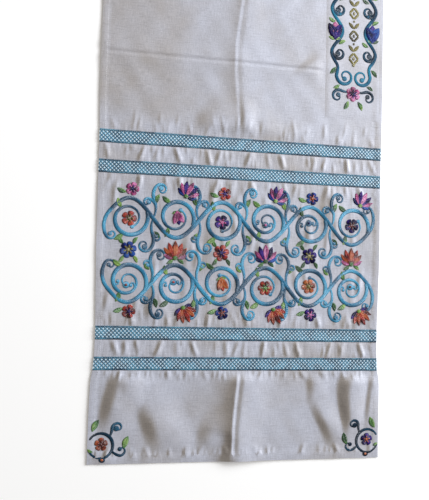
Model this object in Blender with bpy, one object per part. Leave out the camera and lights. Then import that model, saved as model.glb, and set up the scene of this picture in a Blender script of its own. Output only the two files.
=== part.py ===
"""A tallit prayer shawl of pale silk, laid out flat: the ground cloth with its press folds, soft rolls
and puckers, four lattice bands at each end, and the neckband on its right-hand edge.

Metres, +Z up. The cloth lies on Z = 0, its length along Y, the near end at -Y and the neckband at +X.
"across" is a place along X. "along" is the distance from the near end's hem.
"""

import math
from collections import namedtuple

import bmesh
import bpy
from mathutils import Vector
from mathutils.bvhtree import BVHTree

# Cut of the cloth
LENGTH = 2.000
CLOTH_WALL = 0.0012
SEAM_GAP = 0.0003

# Hems are turned under, so the top only steps up a little over them
SIDE_HEM = 0.011
END_HEM = 0.014
HEM_STEP = 0.0004

# Lattice bands, measured from the end hem, the outermost band last
Band = namedtuple("Band", "name low high")
BANDS = (
    Band("band_1", 0.538, 0.561),
    Band("band_2", 0.4865, 0.5095),
    Band("band_3", 0.2055, 0.2285),
    Band("band_4", 0.1545, 0.1770),
)
BAND_WALL = 0.0010
BAND_CORD_WIDTH = 0.003
BAND_CORD_RISE = 0.0005

# Neckband, a strip of the same silk sewn on beside the right-hand edge
NECKBAND_WALL = 0.0010
NECKBAND_INNER = 0.146
NECKBAND_OUTER = 0.251
NECKBAND_LENGTH = 0.780

# How the edges lie: the stitched bands draw the cloth in a little
Edge = namedtuple("Edge", "along left right")
EDGES = (
    Edge(0.000, -0.2580, 0.2580),
    Edge(0.075, -0.2580, 0.2572),
    Edge(0.150, -0.2545, 0.2545),
    Edge(0.190, -0.2520, 0.2525),
    Edge(0.230, -0.2520, 0.2525),
    Edge(0.360, -0.2550, 0.2560),
    Edge(0.490, -0.2560, 0.2560),
    Edge(0.560, -0.2565, 0.2565),
    Edge(0.620, -0.2580, 0.2574),
    Edge(1.000, -0.2576, 0.2580),
)

# Press fold down the middle, left from when the shawl was folded in half
Press = namedtuple("Press", "along across")
PRESS_LINE = (
    Press(0.000, -0.0150),
    Press(0.052, -0.0143),
    Press(0.104, -0.0102),
    Press(0.154, -0.0050),
    Press(0.565, -0.0168),
    Press(0.683, -0.0232),
    Press(0.730, -0.0244),
    Press(0.812, -0.0099),
    Press(1.000, -0.0040),
)
PRESS_RIDGE = 0.0026
PRESS_RIDGE_SPREAD = 0.011
PRESS_SWELL = 0.0022
PRESS_SWELL_SPREAD = 0.060
PRESS_FADE = 0.020
PRESS_REACH = 0.002

# Press folds straight across, as far as the neckband
CROSS_FOLD_ALONG = 0.702
CROSS_FOLD_RISE = 0.0014
CROSS_FOLD_SPREAD = 0.010

# Soft rolls of the cloth: each runs from its low end to its high end
Roll = namedtuple("Roll", "low low_across high high_across rise spread")
ROLLS = (
    Roll(0.055, -0.2335, 0.152, -0.2300, 0.0042, 0.015),
    Roll(0.004, -0.1500, 0.128, -0.1950, 0.0040, 0.021),
    Roll(0.002, -0.0680, 0.080, -0.0560, 0.0030, 0.015),
    Roll(0.048, -0.0420, 0.153, -0.0400, 0.0026, 0.014),
    Roll(0.100, 0.1215, 0.153, 0.1180, 0.0024, 0.010),
    Roll(0.004, 0.1720, 0.108, 0.1360, 0.0034, 0.015),
    Roll(0.034, 0.1970, 0.153, 0.2050, 0.0044, 0.015),
    Roll(0.054, 0.2380, 0.150, 0.2440, 0.0030, 0.012),
    Roll(0.232, -0.1620, 0.330, -0.1500, 0.0022, 0.018),
    Roll(0.262, 0.0700, 0.372, 0.0780, 0.0018, 0.020),
    Roll(0.300, -0.0500, 0.430, -0.0600, 0.0018, 0.022),
    Roll(0.380, 0.1500, 0.484, 0.1650, 0.0022, 0.018),
    Roll(0.563, -0.0730, 0.640, -0.0760, 0.0026, 0.011),
    Roll(0.563, 0.0120, 0.668, 0.0040, 0.0026, 0.011),
    Roll(0.563, 0.0760, 0.630, 0.0740, 0.0022, 0.010),
    Roll(0.668, 0.0780, 0.742, 0.1400, 0.0028, 0.024),
    Roll(0.780, -0.1700, 0.930, -0.1500, 0.0030, 0.026),
)
ROLL_FADE = 0.022
ROLL_BENDS = (0, -0.5, 0.5, -1, 1)
FAR_ROLL_SHARE = 0.85

# Puckers and gathers that the stitching pulls up, by zone
Pucker = namedtuple("Pucker", "low high held count rise spread turn")
PUCKERS = (
    Pucker(0.000, 0.028, "both", 12, 0.0012, 0.0065, 0.4),
    Pucker(0.137, 0.1545, "high", 10, 0.0013, 0.0060, 1.3),
    Pucker(0.177, 0.2055, "both", 13, 0.0017, 0.0062, 2.2),
    Pucker(0.2285, 0.256, "low", 12, 0.0016, 0.0062, 3.1),
    Pucker(0.459, 0.4865, "high", 12, 0.0017, 0.0062, 4.0),
    Pucker(0.5095, 0.538, "both", 13, 0.0016, 0.0062, 4.9),
    Pucker(0.561, 0.587, "low", 10, 0.0015, 0.0062, 5.8),
)
PUCKER_DRIFT = 0.012
PUCKER_UNEVENNESS = 0.3
PUCKER_FULLNESS = 0.5
PUCKER_LEAN = 0.6
GOLDEN_TURN = math.pi * (3 - math.sqrt(5))

# Spacing of the sections and of the points along them
COARSE_ACROSS = 0.040
CLOSEST_ACROSS = 0.0036
PANEL_STEP = 0.026
CENTRE_STEP = 0.040
GATHER_STEPS = 3
PROBE_HEIGHT = 0.1
SAME_PLACE = 1e-6

PALE_SILK = (0.66, 0.66, 0.70)
BAND_BLUE = (0.33, 0.55, 0.66)


def mix(start, end, share):
    """The value that lies this share of the way from start to end."""
    return start + (end - start) * share


def smooth(share):
    """0 to 1 with level ends."""
    share = min(1.0, max(0.0, share))
    return share * share * (3 - 2 * share)


def hill(offset):
    """A soft hill, 1 in the middle and exactly 0 from an offset of 1."""
    return (1 - offset * offset) ** 2 if abs(offset) < 1 else 0.0


def tent(offset):
    """A sharp ridge, 1 at the crest and exactly 0 from an offset of 1."""
    return max(0.0, 1 - abs(offset))


def window(value, low, high, fade):
    """1 between low and high, falling to 0 at both within the fade."""
    return smooth((value - low) / fade) * smooth((high - value) / fade)


def from_nearer_end(along):
    """Distance from whichever end hem is nearer."""
    return min(along, LENGTH - along)


def read_table(rows, column, along):
    """A table's column at this distance from the nearer end, in straight lines between its rows."""
    place = from_nearer_end(along)
    for low, high in zip(rows, rows[1:]):
        if place <= high.along:
            share = (place - low.along) / (high.along - low.along)
            return mix(getattr(low, column), getattr(high, column), share)
    return getattr(rows[-1], column)


def press_across(along):
    """Where the middle press fold runs at this distance."""
    return read_table(PRESS_LINE, "across", along)


def press_strength(along):
    """The press fold shows in the plain cloth, and the stitched bands and panels flatten it."""
    place = from_nearer_end(along)
    in_end_panel = smooth((BANDS[3].low - place) / PRESS_FADE)
    in_centre = smooth((place - BANDS[0].high) / PRESS_FADE)
    return max(in_end_panel, in_centre)


def turned_round(roll):
    """The roll's like at the far end, a little lower."""
    rise = roll.rise * FAR_ROLL_SHARE
    return Roll(LENGTH - roll.high, -roll.high_across, LENGTH - roll.low, -roll.low_across, rise, roll.spread)


def clear_of_neckband(roll):
    """Whether a roll stays off the neckband."""
    beside = max(roll.low_across, roll.high_across) + roll.spread < NECKBAND_INNER
    beyond = min(abs(roll.low - LENGTH / 2), abs(roll.high - LENGTH / 2)) > NECKBAND_LENGTH / 2
    return beside or beyond


ALL_ROLLS = ROLLS + tuple(far for far in map(turned_round, ROLLS) if clear_of_neckband(far))


def roll_across(roll, along):
    """Where a roll's crest runs at this distance."""
    share = (along - roll.low) / (roll.high - roll.low)
    return mix(roll.low_across, roll.high_across, share)


def lift(across, along):
    """Height of the cloth's underside over the floor: the press folds and the rolls."""
    strength = press_strength(along)
    offset = across - press_across(along)
    height = strength * PRESS_RIDGE * tent(offset / PRESS_RIDGE_SPREAD)
    height += strength * PRESS_SWELL * hill(offset / PRESS_SWELL_SPREAD)
    reach = smooth((NECKBAND_INNER - across) / PRESS_FADE)
    from_cross_fold = from_nearer_end(along) - CROSS_FOLD_ALONG
    height += reach * CROSS_FOLD_RISE * tent(from_cross_fold / CROSS_FOLD_SPREAD)
    for roll in ALL_ROLLS:
        if roll.low < along < roll.high:
            rise = roll.rise * window(along, roll.low, roll.high, ROLL_FADE)
            height += rise * hill((across - roll_across(roll, along)) / roll.spread)
    return height


def pucker_profile(pucker, place):
    """How high a zone's puckers stand at this distance from the nearer end, as a share of their rise."""
    share = (place - pucker.low) / (pucker.high - pucker.low)
    if not 0 < share < 1:
        return 0.0
    if pucker.held == "both":
        return math.sin(math.pi * share) ** PUCKER_FULLNESS
    if pucker.held == "high":
        share = 1 - share
    return math.sin(math.pi * share ** PUCKER_LEAN)


def pucker_crests(pucker, along):
    """(place across, share of the rise) of each pucker of a zone at this distance."""
    far = along > LENGTH / 2
    left = read_table(EDGES, "left", along) + pucker.spread
    right = read_table(EDGES, "right", along) - pucker.spread
    from_middle = (from_nearer_end(along) - pucker.low) / (pucker.high - pucker.low) - 0.5
    turn = pucker.turn + (math.pi / 2 if far else 0)
    crests = []
    for number in range(pucker.count):
        angle = turn + GOLDEN_TURN * number
        share = (number + 0.5 + PUCKER_UNEVENNESS * math.sin(angle)) / pucker.count
        drift = PUCKER_DRIFT * math.sin(2 * angle) * from_middle
        strength = 1 - PUCKER_UNEVENNESS * (1 - math.cos(angle))
        crests.append((mix(left, right, share) + drift, strength))
    return crests


def pucker_height(across, along):
    """What the puckers and gathers add to the cloth's top."""
    height = 0.0
    for pucker in PUCKERS:
        profile = pucker_profile(pucker, from_nearer_end(along))
        if profile > 0:
            for crest, share in pucker_crests(pucker, along):
                height = max(height, pucker.rise * profile * share * hill((across - crest) / pucker.spread))
    return height


def hem_height(across, along):
    """What the turned hems add to the cloth's top, sloping up from their inner edge."""
    left = read_table(EDGES, "left", along)
    right = read_table(EDGES, "right", along)
    from_side = min(across - left, right - across)
    in_side = smooth((SIDE_HEM + HEM_STEP - from_side) / HEM_STEP)
    in_end = smooth((END_HEM + HEM_STEP - from_nearer_end(along)) / HEM_STEP)
    return HEM_STEP * max(in_side, in_end)


def top_thickness(across, along):
    """Height of the cloth's top over its underside."""
    return CLOTH_WALL + hem_height(across, along) + pucker_height(across, along)


def spread_out(places, left, right, fixed):
    """Sorted places between left and right, none closer than the least spacing, the fixed ones kept."""
    kept = sorted({left, right, *(x for x in fixed if left < x < right)})
    for place in places:
        if left < place < right and all(abs(place - other) >= CLOSEST_ACROSS for other in kept):
            kept.append(place)
    return sorted(kept)


def on_bands(along):
    """Whether this distance is between the outer edges of a pair of bands, where the cloth lies flat."""
    place = from_nearer_end(along)
    band_1, band_2, band_3, band_4 = BANDS
    pairs = ((band_4.low, band_3.high), (band_2.low, band_1.high))
    return any(low + SAME_PLACE < place < high - SAME_PLACE for low, high in pairs)


def fold_columns(along):
    """Places across where the folds of the underside bend, at and just beyond each fold's ends."""
    if on_bands(along):
        return []
    places = []
    if max(press_strength(along - PRESS_REACH), press_strength(along + PRESS_REACH)) > 0:
        middle = press_across(along)
        steps = (0, -PRESS_RIDGE_SPREAD, PRESS_RIDGE_SPREAD, -PRESS_SWELL_SPREAD / 2, PRESS_SWELL_SPREAD / 2)
        places += [middle + step for step in steps]
    for roll in ALL_ROLLS:
        if roll.low - PANEL_STEP < along < roll.high + PANEL_STEP:
            middle = roll_across(roll, along)
            places += [middle + bend * roll.spread for bend in ROLL_BENDS]
    return places


def pucker_columns(along):
    """Places across of the crests and feet of the puckers at this distance."""
    places = []
    for pucker in PUCKERS:
        if pucker_profile(pucker, from_nearer_end(along)) > 0:
            for crest, _ in pucker_crests(pucker, along):
                places += [crest, crest - pucker.spread, crest + pucker.spread]
    return places


def seam_columns(along, left, right):
    """Places across of the hems' inner edges and of the neckband's sides."""
    places = [left + SIDE_HEM, left + SIDE_HEM + HEM_STEP, right - SIDE_HEM, right - SIDE_HEM - HEM_STEP]
    if abs(along - LENGTH / 2) < NECKBAND_LENGTH / 2 + SAME_PLACE:
        places = places[:2] + [NECKBAND_INNER, NECKBAND_OUTER]
    return places


def columns(along, on_top):
    """The points across one section of the cloth."""
    left = read_table(EDGES, "left", along)
    right = read_table(EDGES, "right", along)
    count = round((right - left) / COARSE_ACROSS)
    coarse = [mix(left, right, number / count) for number in range(1, count)]
    bends = spread_out(fold_columns(along), left, right, seam_columns(along, left, right))
    crests = pucker_columns(along) if on_top else []
    return spread_out(crests + coarse, left, right, bends)


def even_steps(low, high, longest):
    """Places from low to high in equal steps, without high itself."""
    count = max(1, math.ceil((high - low) / longest - 1e-9))
    return [mix(low, high, number / count) for number in range(count)]


def sections(on_top):
    """Distances along the cloth at which it is drawn, from one end hem to the other."""
    band_1, band_2, band_3, band_4 = BANDS
    end_gathers, below_4, _, above_3, below_2, _, above_1 = PUCKERS
    neckband_end = (LENGTH - NECKBAND_LENGTH) / 2
    before_fold = CROSS_FOLD_ALONG - CROSS_FOLD_SPREAD
    after_fold = CROSS_FOLD_ALONG + CROSS_FOLD_SPREAD
    half = [0.0, END_HEM]
    half += even_steps(end_gathers.high, below_4.low, PANEL_STEP)
    half += [below_4.low, band_4.low, band_3.high]
    half += even_steps(above_3.high, below_2.low, PANEL_STEP)
    half += [below_2.low, band_2.low, band_1.high]
    half += even_steps(above_1.high, neckband_end, CENTRE_STEP)
    half += even_steps(neckband_end, before_fold, CENTRE_STEP)
    half += [before_fold, CROSS_FOLD_ALONG]
    half += even_steps(after_fold, LENGTH / 2, CENTRE_STEP)
    if on_top:
        half += [END_HEM + HEM_STEP]
        for band in BANDS:
            half += [band.low, band.low + BAND_CORD_WIDTH, band.high - BAND_CORD_WIDTH, band.high]
        for pucker in PUCKERS:
            half += even_steps(pucker.low, pucker.high, (pucker.high - pucker.low) / GATHER_STEPS)
    half = {round(place, 6) for place in half}
    return sorted(half | {LENGTH / 2} | {round(LENGTH - place, 6) for place in half})


def underside_section(along):
    """The points of the cloth's underside at one distance."""
    return [(across, along - LENGTH / 2, lift(across, along)) for across in columns(along, on_top=False)]


def top_section(underside, along):
    """The points of the cloth's top at one distance, over its underside's own faces."""
    row = []
    for across in columns(along, on_top=True):
        y = along - LENGTH / 2
        row.append((across, y, underside(across, y) + top_thickness(across, along)))
    return row


def join_chains(shell, first, second, axis):
    """Triangles between two chains of vertices that run the same way, which may have unlike counts."""
    i = j = 0
    while i < len(first) - 1 or j < len(second) - 1:
        first_done = i == len(first) - 1
        second_done = j == len(second) - 1
        step_first = second_done or (not first_done and first[i + 1].co[axis] <= second[j + 1].co[axis])
        if step_first:
            shell.faces.new((first[i], first[i + 1], second[j]))
            i += 1
        else:
            shell.faces.new((first[i], second[j + 1], second[j]))
            j += 1


def read_underside(rows):
    """A function that reads the height of the faces drawn between the underside's sections."""
    surface = bmesh.new()
    chains = [[surface.verts.new(point) for point in row] for row in rows]
    for low, high in zip(chains, chains[1:]):
        join_chains(surface, low, high, axis=0)
    tree = BVHTree.FromBMesh(surface)
    surface.free()

    def height(across, y):
        above = Vector((across, y, PROBE_HEIGHT))
        hit = tree.ray_cast(above, Vector((0, 0, -1)))[0]
        return hit.z if hit else tree.find_nearest(Vector((across, y, 0)))[0].z

    return height


def closed_wall(name, top, under, material, collection):
    """A closed wall of cloth between the sections of its top and those of its underside."""
    shell = bmesh.new()
    top_rows = [[shell.verts.new(point) for point in row] for row in top]
    under_rows = [[shell.verts.new(point) for point in row] for row in under]
    for rows in (top_rows, under_rows):
        for low, high in zip(rows, rows[1:]):
            join_chains(shell, low, high, axis=0)
    for end in (0, -1):
        join_chains(shell, top_rows[end], under_rows[end], axis=0)
        join_chains(shell, [row[end] for row in top_rows], [row[end] for row in under_rows], axis=1)
    bmesh.ops.recalc_face_normals(shell, faces=shell.faces)
    mesh = bpy.data.meshes.new(name)
    shell.to_mesh(mesh)
    shell.free()
    mesh.materials.append(material)
    piece = bpy.data.objects.new(name, mesh)
    collection.objects.link(piece)
    return piece


def raised(row, height):
    """A section moved straight up."""
    return [(x, y, z + height) for x, y, z in row]


def make_band(name, low, high, underside, material, collection):
    """A lattice band on the cloth from edge to edge, its two cord borders a little thicker."""
    places = (low, low + BAND_CORD_WIDTH, high - BAND_CORD_WIDTH, high)
    rises = (BAND_CORD_RISE, 0.0, 0.0, BAND_CORD_RISE)
    rows = [top_section(underside, round(along, 6)) for along in places]
    under = [raised(row, SEAM_GAP) for row in rows]
    top = [raised(row, SEAM_GAP + BAND_WALL + rise) for row, rise in zip(rows, rises)]
    return closed_wall(name, top, under, material, collection)


def make_neckband(underside, material, collection):
    """The neckband, on the cloth's own points between its two sides."""
    low, high = NECKBAND_INNER - SAME_PLACE, NECKBAND_OUTER + SAME_PLACE
    rows = []
    for along in sections(on_top=True):
        if abs(along - LENGTH / 2) < NECKBAND_LENGTH / 2 + SAME_PLACE:
            rows.append([point for point in top_section(underside, along) if low < point[0] < high])
    under = [raised(row, SEAM_GAP) for row in rows]
    top = [raised(row, SEAM_GAP + NECKBAND_WALL) for row in rows]
    return closed_wall("neckband", top, under, material, collection)


def cloth_material(name, colour, roughness):
    """A plain Principled finish."""
    material = bpy.data.materials.new(name)
    material.use_nodes = True
    shader = material.node_tree.nodes["Principled BSDF"]
    shader.inputs["Base Color"].default_value = (*colour, 1)
    shader.inputs["Roughness"].default_value = roughness
    shader.inputs["Metallic"].default_value = 0
    material.diffuse_color = (*colour, 1)
    return material


def main():
    """Builds the shawl."""
    for thing in list(bpy.data.objects):
        bpy.data.objects.remove(thing)
    collection = bpy.data.collections.new("tallit_prayer_shawl")
    bpy.context.scene.collection.children.link(collection)
    silk = cloth_material("silk", PALE_SILK, 0.55)
    lattice = cloth_material("lattice_band", BAND_BLUE, 0.60)
    under = [underside_section(along) for along in sections(on_top=False)]
    underside = read_underside(under)
    top = [top_section(underside, along) for along in sections(on_top=True)]
    closed_wall("body_cloth", top, under, silk, collection)
    for band in BANDS:
        far_low, far_high = LENGTH - band.high, LENGTH - band.low
        make_band("near_" + band.name, band.low, band.high, underside, lattice, collection)
        make_band("far_" + band.name, far_low, far_high, underside, lattice, collection)
    make_neckband(underside, cloth_material("neckband_silk", PALE_SILK, 0.55), collection)


main()
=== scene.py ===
"""Looks of a pale silk prayer shawl, laid out flat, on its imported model.

The ground cloth, the lattice bands and the neckband strip are modelled as thin sheets on their solids'
form. The embroidery is raised satin stitch: tapered strokes and crowned pads, one piece for each thread.

Metres. "across" is a place along X, and "along" is the distance from the near end's hem, so the near
hem lies at along 0 and Y -1, and the far hem at along 2 and Y 1.
"""

import logging
import math
from collections.abc import Callable, Iterable, Sequence
from dataclasses import dataclass, field
from enum import Enum

import bmesh
import bpy
import numpy as np
from mathutils import Matrix, Vector


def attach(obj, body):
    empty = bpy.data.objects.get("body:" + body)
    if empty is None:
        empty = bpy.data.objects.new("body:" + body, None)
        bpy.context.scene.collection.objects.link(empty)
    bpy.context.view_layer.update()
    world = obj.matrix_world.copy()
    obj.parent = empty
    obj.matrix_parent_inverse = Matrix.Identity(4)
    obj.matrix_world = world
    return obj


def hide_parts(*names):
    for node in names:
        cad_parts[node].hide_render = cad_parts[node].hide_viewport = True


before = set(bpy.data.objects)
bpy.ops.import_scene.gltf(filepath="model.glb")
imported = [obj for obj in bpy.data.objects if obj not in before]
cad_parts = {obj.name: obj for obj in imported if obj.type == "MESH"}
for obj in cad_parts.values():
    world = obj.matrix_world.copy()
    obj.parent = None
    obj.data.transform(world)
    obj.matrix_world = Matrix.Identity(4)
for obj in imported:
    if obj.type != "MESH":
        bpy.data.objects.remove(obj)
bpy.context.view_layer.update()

Array = np.ndarray
Colour = tuple[float, float, float]
Object = bpy.types.Object
Path = Array

log = logging.getLogger("shawl")


def smooth(share: Array) -> Array:
    """0 to 1 with level ends."""
    share = np.clip(share, 0.0, 1.0)
    return share * share * (3 - 2 * share)


def hill(offset: Array) -> Array:
    """A soft hill, 1 in the middle and 0 from an offset of 1."""
    return np.where(np.abs(offset) < 1, (1 - offset * offset) ** 2, 0.0)


def tent(offset: Array) -> Array:
    """A sharp ridge, 1 at the crest and 0 from an offset of 1."""
    return np.maximum(0.0, 1 - np.abs(offset))


def window(value: Array, low: float, high: float, fade: float) -> Array:
    """1 between low and high, falling to 0 at both within the fade."""
    return smooth((value - low) / fade) * smooth((high - value) / fade)


def select_only(*pieces: Object) -> None:
    """Deselects everything, then selects the pieces, the first one active."""
    bpy.ops.object.select_all(action="DESELECT")
    for piece in pieces:
        piece.select_set(True)
    bpy.context.view_layer.objects.active = pieces[0]


def points_of(piece: Object) -> Array:
    """The piece's vertices as rows of x, y, z."""
    points = np.empty(len(piece.data.vertices) * 3)
    piece.data.vertices.foreach_get("co", points)
    return points.reshape(-1, 3)


def put_points(piece: Object, points: Array) -> None:
    """Moves the piece's vertices to these rows of x, y, z."""
    piece.data.vertices.foreach_set("co", np.ascontiguousarray(points, dtype=np.float64).ravel())
    piece.data.update()


def settle(piece: Object) -> None:
    """Puts the piece's place, turn and size into its mesh."""
    select_only(piece)
    bpy.ops.object.transform_apply(location=True, rotation=True, scale=True)


def apply_modifiers(piece: Object) -> None:
    """Applies the piece's modifiers in order."""
    select_only(piece)
    for modifier in list(piece.modifiers):
        bpy.ops.object.modifier_apply(modifier=modifier.name)


def primitive(add: Callable[..., object], **options: object) -> Object:
    """Adds a primitive with nothing else selected.

    Args:
        add: the operator that adds it.
        **options: the operator's settings.

    Returns:
        The primitive.
    """
    bpy.ops.object.select_all(action="DESELECT")
    add(**options)
    return bpy.context.object


def new_object(name: str, data: bpy.types.ID) -> Object:
    """Puts an object with this data in the scene.

    Args:
        name: the object's name.
        data: its mesh, curve, light or camera.

    Returns:
        The object.
    """
    made = bpy.data.objects.new(name, data)
    bpy.context.scene.collection.objects.link(made)
    return made


def join(pieces: Sequence[Object], name: str) -> Object:
    """Joins pieces into one.

    Args:
        pieces: the pieces.
        name: the joined piece's name.

    Returns:
        The joined piece.
    """
    select_only(*pieces)
    if len(pieces) > 1:
        bpy.ops.object.join()
    joined = bpy.context.view_layer.objects.active
    joined.name = name
    joined.data.name = name
    return joined


def edit(piece: Object, *steps: Callable[[], object]) -> None:
    """Runs operators on the whole piece in edit mode, everything selected.

    Args:
        piece: the piece.
        *steps: the operators, in order.
    """
    select_only(piece)
    bpy.ops.object.mode_set(mode="EDIT")
    bpy.ops.mesh.select_all(action="SELECT")
    for step in steps:
        step()
    bpy.ops.object.mode_set(mode="OBJECT")


def cut(piece: Object, place: Sequence[float], normal: Sequence[float], keep_half: bool = True) -> None:
    """Cuts a piece along a plane.

    Args:
        piece: the piece.
        place: a point of the plane.
        normal: the plane's normal.
        keep_half: whether only the half on the normal's side stays, closed at the cut.
    """
    plane = {"plane_co": place, "plane_no": normal, "use_fill": keep_half, "clear_inner": keep_half}
    edit(piece, lambda: bpy.ops.mesh.bisect(**plane))


def repeat(piece: Object, pitch: float, count: int) -> None:
    """Repeats a piece along +X.

    Args:
        piece: the piece.
        pitch: the distance from one to the next.
        count: how many there are in all.
    """
    array = piece.modifiers.new("run", "ARRAY")
    array.use_relative_offset = False
    array.use_constant_offset = True
    array.constant_offset_displace = (pitch, 0.0, 0.0)
    array.count = count
    apply_modifiers(piece)


def put_values(piece: Object, name: str, values: Array) -> None:
    """Gives each vertex of a piece a value that its material reads by name."""
    layer = piece.data.attributes.new(name, "FLOAT", "POINT")
    layer.data.foreach_set("value", np.ascontiguousarray(values))


def spread(low: float, high: float, longest: float) -> Array:
    """Places from low up to but without high, in equal steps no longer than this."""
    count = max(1, math.ceil((high - low) / longest - 1e-9))
    return np.linspace(low, high, count, endpoint=False)


@dataclass(frozen=True)
class Band:
    """A lattice band's low and high edges, measured from the nearer end hem."""

    name: str
    low: float
    high: float


@dataclass(frozen=True)
class Roll:
    """A soft roll of the cloth, from its low end to its high end.

    Attributes:
        spread: how wide its steep left side is at the high end.
        taper: its width at the low end, as a share of that.
    """

    low: float
    low_across: float
    high: float
    high_across: float
    rise: float
    spread: float
    taper: float = 1.0


@dataclass(frozen=True)
class Pucker:
    """A zone of puckers that the stitching pulls up, and which of its ends the stitching holds."""

    low: float
    high: float
    held: str
    count: int
    rise: float
    spread: float
    turn: float


@dataclass(frozen=True)
class Wrinkles:
    """Fine random wrinkles in a zone, lying mostly lengthwise."""

    low: float
    high: float
    count: int
    length: float
    spread: float
    rise: float
    slant: float = 0.25


@dataclass
class ClothForm:
    """The form of the cloth: where its edges lie, and how high its underside and top stand.

    The edges and bands repeat the solid's own sizes. The folds that both have lie within about 25 mm of
    the solid's. The smallest rolls, the wrinkles and the slight waviness are finer than it.
    """

    length: float = 2.0
    wall: float = 0.0012
    side_hem: float = 0.011
    end_hem: float = 0.014
    hem_step: float = 0.0006
    hem_slope: float = 0.0012
    hem_groove: float = 0.0020
    hem_groove_depth: float = 0.0004
    edge_along: tuple[float, ...] = (0.0, 0.075, 0.137, 0.15, 0.19, 0.23, 0.36, 0.49, 0.56, 0.62, 1.0)
    edge_left: tuple[float, ...] = (
        -0.2580, -0.2580, -0.2570, -0.2545, -0.2520, -0.2520, -0.2550, -0.2560, -0.2565, -0.2580, -0.2576,
    )
    edge_right: tuple[float, ...] = (
        0.2580, 0.2572, 0.2568, 0.2545, 0.2525, 0.2525, 0.2560, 0.2560, 0.2565, 0.2574, 0.2580,
    )
    press_along: tuple[float, ...] = (0.0, 0.052, 0.104, 0.154, 0.565, 0.683, 0.73, 0.812, 1.0)
    press_across: tuple[float, ...] = (
        -0.0150, -0.0143, -0.0102, -0.0050, -0.0130, -0.0236, -0.0232, -0.0135, -0.0090,
    )
    press_rise: float = 0.0074
    press_left_reach: float = 0.020
    press_drop: float = 0.0015
    press_drop_width: float = 0.0030
    press_right_reach: float = 0.048
    press_beside: float = 0.0024
    press_beside_across: float = 0.0150
    press_beside_spread: float = 0.0130
    press_beside_lee: float = 4.0
    press_narrow_along: tuple[float, float] = (0.042, 0.060)
    press_narrow: float = 0.42
    press_centre_share: float = 0.30
    press_fade: float = 0.020
    cross_fold: float = 0.6965
    cross_fold_offset: tuple[float, ...] = (-0.030, -0.0050, 0.0, 0.0050, 0.030)
    cross_fold_height: tuple[float, ...] = (0.0, 0.0013, 0.0003, 0.0016, 0.0)
    roll_fade: float = 0.062
    roll_held_fade: float = 0.022
    roll_wander: float = 0.22
    roll_lee: float = 2.1
    far_roll_share: float = 0.85
    pucker_gain: float = 1.25
    pucker_drift: float = 0.012
    pucker_unevenness: float = 0.3
    wave_depth: float = 0.00020
    neckband_inner: float = 0.146
    neckband_outer: float = 0.251
    neckband_length: float = 0.780
    seed: int = 7
    bands: tuple[Band, ...] = (
        Band("band_1", 0.538, 0.561),
        Band("band_2", 0.4865, 0.5095),
        Band("band_3", 0.2055, 0.2285),
        Band("band_4", 0.1545, 0.1770),
    )
    rolls: tuple[Roll, ...] = (
        Roll(-0.010, -0.0180, 0.024, -0.0180, 0.0024, 0.007),
        Roll(0.040, -0.2200, 0.153, -0.2100, 0.0053, 0.027, 0.8),
        Roll(0.060, -0.1780, 0.153, -0.1860, 0.0022, 0.034),
        Roll(0.002, -0.1380, 0.120, -0.1510, 0.0050, 0.031),
        Roll(0.004, -0.0480, 0.090, -0.0500, 0.0046, 0.030),
        Roll(0.080, 0.1330, 0.153, 0.1310, 0.0022, 0.016),
        Roll(0.004, 0.1800, 0.120, 0.1400, 0.0042, 0.021),
        Roll(0.020, 0.2000, 0.153, 0.2110, 0.0068, 0.031, 0.45),
        Roll(0.030, 0.2430, 0.153, 0.2450, 0.0036, 0.013),
        Roll(0.232, -0.1620, 0.330, -0.1500, 0.0022, 0.018),
        Roll(0.262, 0.0700, 0.372, 0.0780, 0.0018, 0.020),
        Roll(0.300, -0.0500, 0.430, -0.0600, 0.0018, 0.022),
        Roll(0.380, 0.1500, 0.484, 0.1650, 0.0022, 0.018),
        Roll(0.563, -0.0530, 0.640, -0.0540, 0.0034, 0.038),
        Roll(0.563, -0.0030, 0.650, -0.0085, 0.0024, 0.014),
        Roll(0.563, 0.0360, 0.620, 0.0340, 0.0018, 0.018),
        Roll(0.563, 0.0900, 0.600, 0.0900, 0.0018, 0.020),
        Roll(0.668, 0.0940, 0.742, 0.1500, 0.0028, 0.024),
        Roll(0.780, -0.1700, 0.930, -0.1500, 0.0030, 0.026),
    )
    puckers: tuple[Pucker, ...] = (
        Pucker(0.000, 0.028, "both", 12, 0.0012, 0.0065, 0.4),
        Pucker(0.137, 0.1545, "high", 10, 0.0013, 0.0060, 1.3),
        Pucker(0.177, 0.2055, "both", 13, 0.0017, 0.0062, 2.2),
        Pucker(0.2285, 0.256, "low", 12, 0.0016, 0.0062, 3.1),
        Pucker(0.459, 0.4865, "high", 12, 0.0017, 0.0062, 4.0),
        Pucker(0.5095, 0.538, "both", 13, 0.0016, 0.0062, 4.9),
        Pucker(0.561, 0.580, "low", 10, 0.0008, 0.0062, 5.8),
    )
    wrinkles: tuple[Wrinkles, ...] = (
        Wrinkles(0.013, 0.018, 46, 0.0065, 0.0021, 0.0011, 0.1),
        Wrinkles(0.144, 0.153, 36, 0.009, 0.0028, 0.0013),
        Wrinkles(0.179, 0.203, 34, 0.012, 0.0034, 0.0009),
        Wrinkles(0.231, 0.250, 34, 0.013, 0.0034, 0.0009),
        Wrinkles(0.250, 0.465, 60, 0.025, 0.0078, 0.0010),
        Wrinkles(0.465, 0.484, 34, 0.013, 0.0034, 0.0009),
        Wrinkles(0.512, 0.536, 34, 0.012, 0.0034, 0.0009),
        Wrinkles(0.563, 0.590, 30, 0.015, 0.0036, 0.0008),
    )

    def near(self, along: Array) -> Array:
        """Distance from whichever end hem is nearer."""
        return np.minimum(along, self.length - along)

    def left(self, along: Array) -> Array:
        """Where the left edge lies."""
        return np.interp(self.near(along), self.edge_along, self.edge_left)

    def right(self, along: Array) -> Array:
        """Where the right edge lies."""
        return np.interp(self.near(along), self.edge_along, self.edge_right)

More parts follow.
